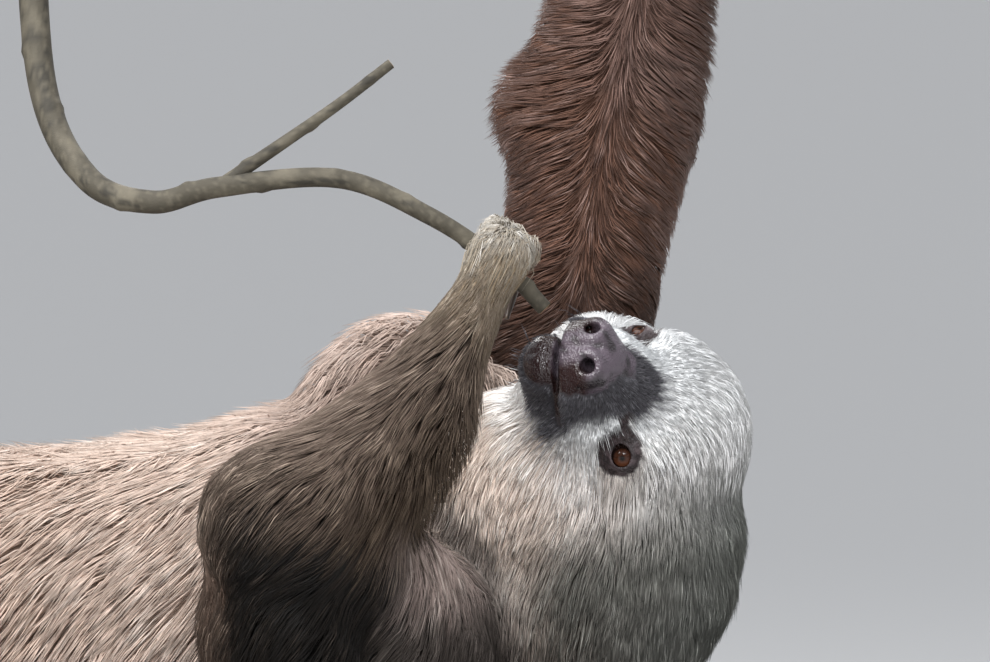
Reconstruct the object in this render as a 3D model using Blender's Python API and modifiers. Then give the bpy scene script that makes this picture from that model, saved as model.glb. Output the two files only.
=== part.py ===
"""Hoffmann's two-toed sloth, life size, hanging belly up under a cut branch on a display stand.

The body is modelled whole, out to the tips of its coat, from tapered limbs and rounded masses
fused together. Thin cuts then part it into head, neck, trunk and limbs. +X is the head end,
-Y the side that the face is turned to (the animal's own left), +Z up, with the origin on the
floor under the middle of the base.
"""

import math

import bmesh
import bpy
import numpy as np
from mathutils import Matrix, Vector
from mathutils.bvhtree import BVHTree

# Driving dimensions, in metres.
GAP = 0.0003                     # clearance between two pieces that touch
CUT = 0.0004                     # width of the thin cuts that part the body
SLAB_OVERLAP = 0.001             # how far the slabs that meet at one edge run past it
CRUMB_VOLUME = 2e-8              # a cut may leave slivers, which are dropped

BASE_SIZE = (0.84, 0.38, 0.020)  # length, depth, height of the stand's plate
BASE_EDGE = 0.004
ROD_RADIUS = 0.007
ROD_REACH = 0.385                # each rod stands this far from the middle, along X
ROD_SOCKET = 0.010               # depth that a rod enters the plate and the branch

BRANCH_HEIGHT = 0.585
BRANCH_SIDE = 0.050              # its place along Y, over the middle of the trunk
BRANCH_REACH = 0.412
BRANCH_RADIUS = 0.0165
TWIG_RADIUS = 0.0034             # of the side branch, where the near hand holds it

CLAW_ROOT = 0.0043
CLAW_TIP = 0.0009
EYE_RADIUS = 0.0064
EYE_SPACING = 0.053

# The head's own frame: its origin midway between the eyes, and its forward, left and up axes.
HEAD = Vector((0.2000, -0.0350, 0.2840))
FORWARD = Vector((-0.142, -0.883, 0.448)).normalized()
LEFT = Vector((-0.132, -0.432, -0.892)).normalized()
UP = FORWARD.cross(LEFT).normalized()
HEAD_FRAME = Matrix((FORWARD, LEFT, UP)).transposed().to_4x4()
HEAD_FRAME.translation = HEAD

# Each ear's direction out through the coat, how far out its middle is, and its length.
EARS = {
    1: (Vector((0.0, -0.93, -0.37)).normalized(), 0.016, 0.036),
    -1: (-LEFT, 0.003, 0.018),
}

# Joints of the limbs, each from the body outward.
LEFT_SHOULDER = Vector((0.095, -0.030, 0.182))
LEFT_ELBOW = Vector((0.060, -0.143, 0.233))
LEFT_WRIST = Vector((0.1385, -0.080, 0.3270))
LEFT_KNUCKLES = Vector((0.1455, -0.073, 0.3420))
RIGHT_SHOULDER = Vector((0.165, 0.116, 0.238))
RIGHT_ELBOW = Vector((0.192, 0.122, 0.402))
RIGHT_WRIST = Vector((0.222, 0.084, 0.530))
RIGHT_KNUCKLES = Vector((0.224, 0.079, 0.583))
LEFT_HIP = Vector((-0.205, 0.035, 0.232))
LEFT_KNEE = Vector((-0.150, -0.008, 0.368))
LEFT_ANKLE = Vector((-0.196, 0.018, 0.490))
LEFT_TOES = Vector((-0.194, 0.0215, 0.583))
RIGHT_HIP = Vector((-0.205, 0.125, 0.232))
RIGHT_KNEE = Vector((-0.158, 0.147, 0.362))
RIGHT_ANKLE = Vector((-0.242, 0.082, 0.488))
RIGHT_TOES = Vector((-0.244, 0.0785, 0.583))

# The neck's middle line, and the long hair of crown and nape that hangs from the head.
NECK = ((0.128, 0.060, 0.212), (0.168, 0.042, 0.232), (0.200, 0.012, 0.254))
NECK_END = (Vector((0.216, 0.008, 0.250)), 0.074)
RUFF = Vector((0.196, 0.002, 0.224))
RUFF_SIZE = (0.056, 0.046, 0.074)
THROAT = Vector((0.160, -0.004, 0.246))
THROAT_SIZE = (0.046, 0.038, 0.044)

# Middle line of the trunk from the base of the neck to the rump, and its half-depth.
TRUNK = (
    ((0.150, 0.058, 0.216), 0.060),
    ((0.095, 0.056, 0.209), 0.084),
    ((0.030, 0.062, 0.186), 0.088),
    ((-0.045, 0.072, 0.176), 0.089),
    ((-0.120, 0.078, 0.180), 0.086),
    ((-0.195, 0.080, 0.195), 0.076),
    ((-0.250, 0.080, 0.203), 0.050),
)
TRUNK_WIDTH = 1.06               # breadth over depth
FRINGE_DROP = 0.034              # how far the coat of the back hangs below the body
FRINGE_SHARE = 0.80              # and its half-depth as a share of the trunk's

FUR_TAN = (0.42, 0.30, 0.20, 1.0)
FUR_BROWN = (0.16, 0.10, 0.065, 1.0)
FUR_RUSSET = (0.24, 0.11, 0.07, 1.0)
FUR_CREAM = (0.72, 0.66, 0.56, 1.0)
NOSE_SKIN = (0.09, 0.055, 0.05, 1.0)
CLAW_HORN = (0.20, 0.15, 0.11, 1.0)
EYE_BROWN = (0.09, 0.03, 0.015, 1.0)
BARK_GREY = (0.30, 0.26, 0.22, 1.0)
STAND_PAINT = (0.03, 0.03, 0.032, 1.0)
ROD_STEEL = (0.45, 0.45, 0.46, 1.0)


# ---------------------------------------------------------------- scene and materials

def clear_scene():
    for obj in list(bpy.data.objects):
        bpy.data.objects.remove(obj, do_unlink=True)


def collection(name):
    found = bpy.data.collections.new(name)
    bpy.context.scene.collection.children.link(found)
    return found


def material(name, colour, roughness, metallic=0.0):
    made = bpy.data.materials.get(name) or bpy.data.materials.new(name)
    made.use_nodes = True
    shader = made.node_tree.nodes["Principled BSDF"]
    shader.inputs["Base Color"].default_value = colour
    shader.inputs["Roughness"].default_value = roughness
    shader.inputs["Metallic"].default_value = metallic
    return made


def add_object(name, mesh, home, surface=None):
    obj = bpy.data.objects.new(name, mesh)
    home.objects.link(obj)
    if surface:
        mesh.materials.clear()
        mesh.materials.append(surface)
    return obj


def evaluated_mesh(obj):
    """A plain mesh of the object with its modifiers applied."""
    graph = bpy.context.evaluated_depsgraph_get()
    graph.update()
    return bpy.data.meshes.new_from_object(obj.evaluated_get(graph))


# ---------------------------------------------------------------- forms

def smooth_line(points, values, steps):
    """A Catmull-Rom curve through the points, with a value such as a radius along it."""
    knots = np.array([[*p, v] for p, v in zip(points, values)], float)
    knots = np.vstack([2 * knots[0] - knots[1], knots, 2 * knots[-1] - knots[-2]])
    line = []
    for before, start, end, after in zip(knots, knots[1:], knots[2:], knots[3:]):
        for t in np.arange(steps) / steps:
            line.append(0.5 * (
                2 * start + (end - before) * t
                + (2 * before - 5 * start + 4 * end - after) * t ** 2
                + (3 * start - before - 3 * end + after) * t ** 3
            ))
    line.append(knots[-2])
    return np.array(line)


def tube_mesh(points, radii, steps=4, sides=2):
    """A tapered round tube through the points, closed at both ends, as a mesh."""
    line = smooth_line(points, radii, steps)
    curve = bpy.data.curves.new("tube", "CURVE")
    curve.dimensions = "3D"
    curve.bevel_depth = 1.0
    curve.bevel_resolution = sides
    curve.use_fill_caps = True
    spline = curve.splines.new("POLY")
    spline.points.add(len(line) - 1)
    for point, (x, y, z, radius) in zip(spline.points, line):
        point.co = (x, y, z, 1.0)
        point.radius = radius
    guide = bpy.data.objects.new("tube", curve)
    bpy.context.scene.collection.objects.link(guide)
    mesh = evaluated_mesh(guide)
    bpy.data.objects.remove(guide, do_unlink=True)
    bpy.data.curves.remove(curve)
    work = bmesh.new()
    work.from_mesh(mesh)
    bmesh.ops.remove_doubles(work, verts=work.verts, dist=1e-6)
    bmesh.ops.recalc_face_normals(work, faces=work.faces)
    bmesh.ops.triangulate(work, faces=work.faces)
    work.to_mesh(mesh)
    work.free()
    return mesh


def ball_mesh(centre, radii, turn=None, segments=14, rings=8):
    """An ellipsoid, turned by the given matrix about its own centre."""
    work = bmesh.new()
    bmesh.ops.create_uvsphere(work, u_segments=segments, v_segments=rings, radius=1.0)
    shape = Matrix.Translation(centre) @ (turn or Matrix()).to_4x4()
    bmesh.ops.transform(work, matrix=shape @ Matrix.Diagonal((*radii, 1.0)), verts=work.verts)
    bmesh.ops.triangulate(work, faces=work.faces)
    mesh = bpy.data.meshes.new("ball")
    work.to_mesh(mesh)
    work.free()
    return mesh


def disc_mesh(centre, normal, radius, thickness=CUT, sides=20):
    """A thin round slab square to the normal: the tool for parting a limb."""
    work = bmesh.new()
    bmesh.ops.create_cone(work, cap_ends=True, segments=sides, radius1=radius, radius2=radius,
                          depth=thickness)
    turn = Vector(normal).normalized().to_track_quat("Z", "Y").to_matrix().to_4x4()
    bmesh.ops.transform(work, matrix=Matrix.Translation(centre) @ turn, verts=work.verts)
    mesh = bpy.data.meshes.new("disc")
    work.to_mesh(mesh)
    work.free()
    return mesh


def shell_mesh(centre, radius, thickness=CUT, segments=20, rings=12):
    """A thin hollow ball: the tool for a cut that curves round what it parts."""
    work = bmesh.new()
    for reach, outward in ((radius + thickness, True), (radius, False)):
        ball = bmesh.ops.create_uvsphere(work, u_segments=segments, v_segments=rings,
                                         radius=reach)
        if not outward:
            faces = {face for vertex in ball["verts"] for face in vertex.link_faces}
            bmesh.ops.reverse_faces(work, faces=list(faces))
    bmesh.ops.translate(work, vec=centre, verts=work.verts)
    mesh = bpy.data.meshes.new("shell")
    work.to_mesh(mesh)
    work.free()
    return mesh


def joined(meshes):
    """One mesh that holds all the given ones."""
    work = bmesh.new()
    for mesh in meshes:
        work.from_mesh(mesh)
        bpy.data.meshes.remove(mesh)
    mesh = bpy.data.meshes.new("joined")
    work.to_mesh(mesh)
    work.free()
    return mesh


def fused(meshes, voxel, softening, triangles):
    """The meshes grown into one closed skin, softened, and simplified to so many triangles."""
    obj = bpy.data.objects.new("fused", joined(meshes))
    bpy.context.scene.collection.objects.link(obj)
    remesh = obj.modifiers.new("remesh", "REMESH")
    remesh.mode = "VOXEL"
    remesh.voxel_size = voxel
    smooth = obj.modifiers.new("smooth", "SMOOTH")
    smooth.factor = 0.5
    smooth.iterations = softening
    dense = evaluated_mesh(obj)
    dense.calc_loop_triangles()
    thin = obj.modifiers.new("thin", "DECIMATE")
    thin.ratio = triangles / len(dense.loop_triangles)
    mesh = evaluated_mesh(obj)
    bpy.data.meshes.remove(dense)
    bpy.data.objects.remove(obj, do_unlink=True)
    return mesh


def swollen(mesh, distance):
    """A copy of the mesh with each point moved outward, as the cutter that leaves a clearance."""
    copy = mesh.copy()
    normals = [normal.vector.copy() for normal in copy.vertex_normals]
    for vertex, normal in zip(copy.vertices, normals):
        vertex.co += normal * distance
    return copy


def cut_away(mesh, cutters, home):
    """The mesh less each cutter in turn."""
    obj = bpy.data.objects.new("blank", mesh)
    bpy.context.scene.collection.objects.link(obj)
    for number, cutter in enumerate(cutters):
        tool = bpy.data.objects.new(f"cutter_{number:02d}", cutter)
        home.objects.link(tool)
        tool.hide_render = True
        tool.display_type = "WIRE"
        cut = obj.modifiers.new("cut", "BOOLEAN")
        cut.operation = "DIFFERENCE"
        cut.solver = "MANIFOLD"  # the exact solver leaves a claw or two inside its foot
        cut.object = tool
        result = evaluated_mesh(obj)
        obj.modifiers.clear()
        obj.data = result
        bpy.data.objects.remove(tool, do_unlink=True)
    mesh = obj.data
    bpy.data.objects.remove(obj, do_unlink=True)
    return mesh


def islands(mesh):
    """The separate closed bodies of a mesh, crumbs left out."""
    work = bmesh.new()
    work.from_mesh(mesh)
    bmesh.ops.remove_doubles(work, verts=work.verts, dist=1e-6)
    bmesh.ops.dissolve_degenerate(work, edges=work.edges, dist=1e-6)
    bmesh.ops.triangulate(work, faces=work.faces)
    work.faces.index_update()
    found = []
    waiting = [True] * len(work.faces)
    for start in work.faces:
        if not waiting[start.index]:
            continue
        waiting[start.index] = False
        island = [start]
        for face in island:
            for edge in face.edges:
                for other in edge.link_faces:
                    if waiting[other.index]:
                        waiting[other.index] = False
                        island.append(other)
        part = bmesh.new()
        copies = {}
        for face in island:
            corners = []
            for vertex in face.verts:
                if vertex not in copies:
                    copies[vertex] = part.verts.new(vertex.co)
                corners.append(copies[vertex])
            part.faces.new(corners)
        if part.calc_volume(signed=True) > CRUMB_VOLUME:
            piece = bpy.data.meshes.new("island")
            part.to_mesh(piece)
            found.append(piece)
        part.free()
    work.free()
    return found


# ---------------------------------------------------------------- head

def on_head(forward, left, up):
    """A point given in millimetres in the head's own frame."""
    return HEAD_FRAME @ (Vector((forward, left, up)) / 1000)


def head_ball(centre, radii, swing=0.0):
    """An ellipsoid in the head's frame, in millimetres, swung to its left by so many degrees."""
    turn = HEAD_FRAME.to_3x3() @ Matrix.Rotation(math.radians(swing), 3, "Z")
    return ball_mesh(on_head(*centre), [r / 1000 for r in radii], turn)


def head_tube(points, radii, steps=4, sides=4):
    return tube_mesh([on_head(*p) for p in points], [r / 1000 for r in radii], steps, sides)


def head_forms():
    """Skull, cheeks, muzzle and jaw, out to the tips of the face's fur."""
    forms = [
        head_ball((-38, 0, 4), (45, 46, 43)),
        head_ball((-62, 0, -4), (34, 42, 38)),
        head_ball((-12, 0, 8), (23, 29, 21)),
        head_tube([(-12, 0, -8), (12, 0, -11), (29, 0, -13)], [27, 22.5, 18]),
        head_ball((35.5, 0, -12.5), (9.5, 17.5, 11.5)),
        head_ball((34, 0, -21), (9, 14, 8)),
        head_tube([(-26, 0, -32), (0, 0, -32), (24, 0, -31.5)], [20, 15, 11]),
        head_ball((26, 0, -33), (11.5, 12, 9.5)),
    ]
    forms.append(ball_mesh(RUFF, RUFF_SIZE))
    forms.append(ball_mesh(THROAT, THROAT_SIZE))
    for side in (-1, 1):
        forms.append(head_ball((-34, side * 27, -20), (30, 25, 27)))
        forms.append(head_ball((-6, side * 16, -18), (24, 16, 17)))
        forms.append(head_ball((-10, side * 24, 12), (14, 9, 9)))
    return forms


def head_cutters():
    """Eye sockets, nostrils and the parted lips, with the cuts that free muzzle and jaw."""
    cutters = []
    for side in (-1, 1):
        cutters.append(head_ball((2.5, side * 30.5, -0.5), (7.5, 7, 6.5), swing=side * 30))
        cutters.append(ball_mesh(eye_centre(side), [EYE_RADIUS + GAP] * 3))
        cutters.append(head_ball((44.5, side * 7.5, -12.5), (5.5, 2.8, 3.4), swing=side * -15))
    cutters.append(head_ball((38, 0, -27), (13, 15, 2.2)))
    hinge = on_head(8, 0, -27)
    for forward, up, length, width in ((1, 0, 0.050, 0.080), (-0.05, -1, 0.062, 0.100),
                                       (0.12, 1, 0.054, 0.090)):
        along = HEAD_FRAME.to_3x3() @ Vector((forward, 0, up))
        cutters.append(slab_mesh(hinge, along, LEFT, length, width))
    return cutters


def slab_mesh(edge, along, across, length, width):
    """A thin slab that runs from the middle of one edge, for a cut that ends inside a piece."""
    along = Vector(along).normalized()
    across = Vector(across).normalized()
    frame = Matrix((along, across, along.cross(across))).transposed().to_4x4()
    frame.translation = edge
    work = bmesh.new()
    bmesh.ops.create_cube(work, size=1.0)
    shape = frame @ Matrix.Translation((length / 2 - SLAB_OVERLAP, 0, 0))
    bmesh.ops.transform(work, matrix=shape @ Matrix.Diagonal((length, width, CUT, 1.0)),
                        verts=work.verts)
    mesh = bpy.data.meshes.new("slab")
    work.to_mesh(mesh)
    work.free()
    return mesh


def eye_centre(side):
    return on_head(-3.8, side * EYE_SPACING * 500, 0)


def ear_mesh(side):
    """A small ear with the tuft of hair that reaches from it to the face of the coat."""
    outward, middle, length = EARS[side]
    root = on_head(-41, side * 38, -4)
    turn = outward.to_track_quat("Z", "X").to_matrix()
    return ball_mesh(root + outward * middle, (0.0085, 0.0055, length / 2), turn, 12, 6)


# ---------------------------------------------------------------- body and limbs

def between(start, end, share):
    return start.lerp(end, share)


def trunk_forms():
    """Trunk, with the coat of the back that hangs below it, and the raised fur of the breast."""
    points = [Vector(point) for point, _ in TRUNK]
    radii = [radius for _, radius in TRUNK]
    forms = []
    for drop, share in ((0.0, 1.0), (FRINGE_DROP, FRINGE_SHARE)):
        mesh = tube_mesh([p - Vector((0, 0, drop)) for p in points],
                         [r * share for r in radii], sides=6)
        middle = sum(points, Vector()) / len(points)
        widen = Matrix.Translation(middle) @ Matrix.Diagonal((1, TRUNK_WIDTH, 1, 1))
        mesh.transform(widen @ Matrix.Translation(-middle))
        forms.append(mesh)
    forms.append(ball_mesh(Vector((0.108, 0.050, 0.254)), (0.058, 0.058, 0.068)))
    forms.append(ball_mesh(Vector((-0.236, 0.080, 0.190)), (0.070, 0.072, 0.080)))
    forms.append(ball_mesh(Vector((0.138, 0.008, 0.192)), (0.044, 0.042, 0.044)))
    for shoulder in (LEFT_SHOULDER, RIGHT_SHOULDER):
        forms.append(ball_mesh(shoulder, (0.050, 0.050, 0.050)))
    return forms


def neck_forms():
    """The short neck, which the head's coat hides but for its underside."""
    return [tube_mesh(NECK, [0.060, 0.054, 0.046], sides=6)]


def arm_forms():
    left_upper = [LEFT_SHOULDER, between(LEFT_SHOULDER, LEFT_ELBOW, 0.5), LEFT_ELBOW]
    left_fore = [LEFT_ELBOW] + [between(LEFT_ELBOW, LEFT_WRIST, share) + Vector((0, 0, -sag))
                                for share, sag in ((0.30, 0.014), (0.60, 0.017), (0.83, 0.008))]
    right_upper = [RIGHT_SHOULDER, between(RIGHT_SHOULDER, RIGHT_ELBOW, 0.5), RIGHT_ELBOW]
    right_fore = [RIGHT_ELBOW] + [between(RIGHT_ELBOW, RIGHT_WRIST, t) for t in (0.35, 0.75)]
    return [
        tube_mesh(left_upper, [0.050, 0.047, 0.036], sides=5),
        ball_mesh(LEFT_ELBOW, (0.036, 0.036, 0.036)),
        ball_mesh(LEFT_ELBOW + Vector((-0.002, 0.016, -0.040)), (0.037, 0.040, 0.050)),
        tube_mesh(left_fore + [LEFT_WRIST], [0.036, 0.0335, 0.0275, 0.0170, 0.0122], sides=5),
        tube_mesh([LEFT_WRIST, LEFT_KNUCKLES], [0.0125, 0.0140], sides=4),
        ball_mesh(LEFT_KNUCKLES, (0.0142, 0.0142, 0.0142)),
        tube_mesh(right_upper, [0.046, 0.036, 0.042], sides=5),
        ball_mesh(RIGHT_ELBOW + Vector((-0.016, 0, 0.006)), (0.038, 0.040, 0.034)),
        tube_mesh(right_fore + [RIGHT_WRIST], [0.044, 0.040, 0.027, 0.0155], sides=5),
        tube_mesh([RIGHT_WRIST, between(RIGHT_WRIST, RIGHT_KNUCKLES, 0.5), RIGHT_KNUCKLES],
                  [0.0150, 0.0150, 0.0125], sides=4),
    ]


def leg_forms():
    forms = []
    for hip, knee, ankle, toes in (
        (LEFT_HIP, LEFT_KNEE, LEFT_ANKLE, LEFT_TOES),
        (RIGHT_HIP, RIGHT_KNEE, RIGHT_ANKLE, RIGHT_TOES),
    ):
        forms += [
            ball_mesh(hip, (0.054, 0.050, 0.056)),
            tube_mesh([hip, between(hip, knee, 0.5), knee], [0.056, 0.050, 0.040], sides=5),
            ball_mesh(knee, (0.040, 0.040, 0.040)),
            tube_mesh([knee, between(knee, ankle, 0.5), ankle], [0.040, 0.033, 0.0205], sides=5),
            ball_mesh(ankle, (0.0205, 0.0205, 0.0205)),
            tube_mesh([ankle, between(ankle, toes, 0.55), toes], [0.0200, 0.0165, 0.0130],
                      sides=4),
        ]
    return forms


def digit_forms(claws):
    """The short furred digits that the claws grow from."""
    return [ball_mesh(line[0], (0.0075, 0.0075, 0.0075)) for line in claws.values()]


# ---------------------------------------------------------------- claws

def hook_line(centre, start_angle, turn, radius, along, out, tall, steps=6):
    """Points of a claw that hooks over a stem: an arc about the stem's middle line."""
    line = []
    for step in range(steps):
        t = step / (steps - 1)
        angle = math.radians(start_angle + turn * t)
        reach = radius * (1 - 0.10 * t)
        line.append(Vector(centre) + along + reach * (math.cos(angle) * out
                                                      + math.sin(angle) * tall))
    return line


def claw_lines():
    """Middle lines of two claws on each hand and three on each foot."""
    lines = {}
    up = Vector((0, 0, 1))
    grips = (
        ("right_hand", RIGHT_KNUCKLES, 1, (-0.0085, 0.0085)),
        ("left_foot", LEFT_TOES, -1, (-0.0145, 0.0, 0.0145)),
        ("right_foot", RIGHT_TOES, 1, (-0.0145, 0.0, 0.0145)),
    )
    for limb, end, side, spread in grips:
        middle = branch_point(end.x)
        reach = BRANCH_RADIUS + CLAW_ROOT + 0.0035
        for number, shift in enumerate(spread, 1):
            lines[f"{limb}_claw_{number}"] = hook_line(
                middle, 8, 152, reach, Vector((shift, 0, 0)), Vector((0, side, 0)), up)
    stem = (TWIG_PATH[-1] - TWIG_PATH[-3]).normalized()
    tall = Vector((0.25, 0, 0.97))
    for number, shift in enumerate((-0.0068, 0.0068), 1):
        lines[f"left_hand_claw_{number}"] = hook_line(
            LEFT_KNUCKLES + Vector((-0.001, 0.024, -0.016)), 95, -112, 0.0235,
            stem * shift, Vector((0, 1, 0)), tall)
    return lines


def claw_mesh(line, extra=0.0):
    line = [line[0] - (line[1] - line[0]).normalized() * extra] + list(line[1:])
    radii = [CLAW_ROOT + (CLAW_TIP - CLAW_ROOT) * t ** 1.4 + extra
             for t in np.linspace(0, 1, len(line))]
    return tube_mesh(line, radii, steps=1, sides=1)


# ---------------------------------------------------------------- perch and stand

def branch_point(x):
    """Middle line of the branch, which wanders slightly along its length."""
    return Vector((x, BRANCH_SIDE + 0.004 * math.sin(9 * x),
                   BRANCH_HEIGHT + 0.003 * math.sin(13 * x + 0.6)))


def branch_radius(x):
    """It tapers a little toward the head end and swells at its old knots."""
    knots = sum(math.exp(-((x - knot) / 0.014) ** 2) for knot in (-0.31, -0.055, 0.30))
    return BRANCH_RADIUS * (1 - 0.10 * x / BRANCH_REACH) + 0.0022 * knots


TWIG_PATH = [Vector(point) for point in (
    (-0.060, 0.050, 0.566),
    (-0.057, 0.040, 0.500),
    (-0.049, 0.012, 0.415),
    (-0.028, -0.018, 0.375),
    (0.000, -0.033, 0.3645),
    (0.028, -0.041, 0.3705),
    (0.078, -0.046, 0.3740),
    (0.116, -0.050, 0.3585),
    (0.146, -0.048, 0.3385),
    (0.164, -0.046, 0.3200),
)]


def twig_radii(extra=0.0):
    count = len(TWIG_PATH)
    return [TWIG_RADIUS + 0.0042 * (1 - i / (count - 1)) ** 1.6 + extra for i in range(count)]


def branch_mesh(extra=0.0):
    xs = np.linspace(-BRANCH_REACH, BRANCH_REACH, 24)
    return tube_mesh([branch_point(x) for x in xs], [branch_radius(x) + extra for x in xs],
                     steps=1, sides=2)


def twig_mesh(extra=0.0):
    """The leafless side branch, with the stub of a shoot cut from it."""
    shoot = [TWIG_PATH[5], Vector((0.074, -0.042, 0.402)), Vector((0.100, -0.040, 0.422))]
    stem = tube_mesh(TWIG_PATH, twig_radii(extra), steps=3, sides=1)
    stub = tube_mesh(shoot, [0.0030 + extra, 0.0024 + extra, 0.0022 + extra], steps=2, sides=1)
    stem_object = bpy.data.objects.new("stem", stem)
    stub_object = bpy.data.objects.new("stub", stub)
    for obj in (stem_object, stub_object):
        bpy.context.scene.collection.objects.link(obj)
    union = stem_object.modifiers.new("union", "BOOLEAN")
    union.operation = "UNION"
    union.object = stub_object
    mesh = evaluated_mesh(stem_object)
    for obj in (stem_object, stub_object):
        bpy.data.objects.remove(obj, do_unlink=True)
    return mesh


def rod_mesh(side, extra=0.0):
    foot = BASE_SIZE[2] - ROD_SOCKET - extra
    head = branch_point(side * ROD_REACH)
    top = head.z - branch_radius(side * ROD_REACH) + ROD_SOCKET + extra
    return tube_mesh([(side * ROD_REACH, head.y, foot), (side * ROD_REACH, head.y, top)],
                     [ROD_RADIUS + extra] * 2, steps=1, sides=4)


def base_mesh():
    work = bmesh.new()
    bmesh.ops.create_cube(work, size=1.0)
    length, depth, height = BASE_SIZE
    bmesh.ops.transform(work, matrix=Matrix.Translation((0, 0, height / 2))
                        @ Matrix.Diagonal((length, depth, height, 1.0)), verts=work.verts)
    upright = [e for e in work.edges if abs(e.verts[0].co.z - e.verts[1].co.z) > height / 2]
    bmesh.ops.bevel(work, geom=upright, offset=0.03, segments=4, affect="EDGES", profile=0.5)
    rim = [e for e in work.edges if min(v.co.z for v in e.verts) > height - 1e-6]
    bmesh.ops.bevel(work, geom=rim, offset=BASE_EDGE, segments=1, affect="EDGES", profile=0.5)
    mesh = bpy.data.meshes.new("base")
    work.to_mesh(mesh)
    work.free()
    return mesh


# ---------------------------------------------------------------- parting the body

def parting_cuts():
    """One thin disc for each joint: its middle, the direction along the limb, its radius."""
    def across(a, b, share, radius):
        return between(a, b, share), b - a, radius

    def at_bend(a, joint, b, radius):
        return joint, (joint - a).normalized() + (b - joint).normalized(), radius

    cuts = [
        (Vector((0.018, 0.064, 0.170)), (1, -0.06, 0.10), 0.128),
        (Vector((-0.112, 0.078, 0.165)), (1, 0, 0), 0.124),
        across(LEFT_SHOULDER, LEFT_ELBOW, 0.24, 0.060),
        at_bend(LEFT_SHOULDER, LEFT_ELBOW, LEFT_WRIST, 0.082),
        across(LEFT_ELBOW, LEFT_WRIST, 0.96, 0.021),
        (Vector((0.160, 0.117, 0.286)), (0.35, 0.10, 0.93), 0.062),
        at_bend(RIGHT_SHOULDER, RIGHT_ELBOW, RIGHT_WRIST, 0.060),
        across(RIGHT_ELBOW, RIGHT_WRIST, 0.98, 0.026),
    ]
    for hip, knee, ankle, toes in (
        (LEFT_HIP, LEFT_KNEE, LEFT_ANKLE, LEFT_TOES),
        (RIGHT_HIP, RIGHT_KNEE, RIGHT_ANKLE, RIGHT_TOES),
    ):
        cuts.append(across(hip, knee, 0.42, 0.066))
        cuts.append(at_bend(hip, knee, ankle, 0.058))
        cuts.append(at_bend(knee, ankle, toes, 0.030))
    return [shell_mesh(*NECK_END)] + [disc_mesh(*cut) for cut in cuts]


def body_parts():
    """A point inside each part of the body, which tells the parts apart once they are cut."""
    return {
        "neck": (Vector((0.166, 0.044, 0.222)), "cream"),
        "chest": (Vector((0.090, 0.055, 0.205)), "tan"),
        "abdomen": (Vector((-0.045, 0.072, 0.170)), "tan"),
        "pelvis": (Vector((-0.200, 0.080, 0.185)), "tan"),
        "left_upper_arm": (between(LEFT_SHOULDER, LEFT_ELBOW, 0.65), "brown"),
        "left_forearm": (between(LEFT_ELBOW, LEFT_WRIST, 0.50), "brown"),
        "left_hand": (LEFT_KNUCKLES, "cream"),
        "right_upper_arm": (between(RIGHT_SHOULDER, RIGHT_ELBOW, 0.60), "russet"),
        "right_forearm": (between(RIGHT_ELBOW, RIGHT_WRIST, 0.50), "russet"),
        "right_hand": (between(RIGHT_WRIST, RIGHT_KNUCKLES, 0.6), "russet"),
        "left_thigh": (between(LEFT_HIP, LEFT_KNEE, 0.65), "brown"),
        "left_shank": (between(LEFT_KNEE, LEFT_ANKLE, 0.50), "brown"),
        "left_foot": (between(LEFT_ANKLE, LEFT_TOES, 0.55), "brown"),
        "right_thigh": (between(RIGHT_HIP, RIGHT_KNEE, 0.65), "brown"),
        "right_shank": (between(RIGHT_KNEE, RIGHT_ANKLE, 0.50), "brown"),
        "right_foot": (between(RIGHT_ANKLE, RIGHT_TOES, 0.55), "brown"),
    }


def head_parts():
    return {
        "head": (on_head(-50, 0, 0), "cream"),
        "muzzle": (on_head(30, 0, -14), "nose"),
        "lower_jaw": (on_head(18, 0, -35), "nose"),
    }


def holds(mesh, point):
    """Whether the closed mesh has the point inside it."""
    tree = BVHTree.FromPolygons([v.co for v in mesh.vertices],
                                [p.vertices[:] for p in mesh.polygons])
    ray = Vector((0.31, 0.52, 0.79)).normalized()
    hits = 0
    spot, _, _, _ = tree.ray_cast(point, ray)
    while spot is not None:
        hits += 1
        spot, _, _, _ = tree.ray_cast(spot + ray * 1e-6, ray)
    return hits % 2 == 1


def add_parts(mesh, parts, surfaces, home):
    """Adds each separate body of the mesh under the name of the part whose point is in it."""
    for piece in islands(mesh):
        names = [name for name, (point, _) in parts.items() if holds(piece, point)]
        if names:
            add_object(names[0], piece, home, surfaces[parts[names[0]][1]])


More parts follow.
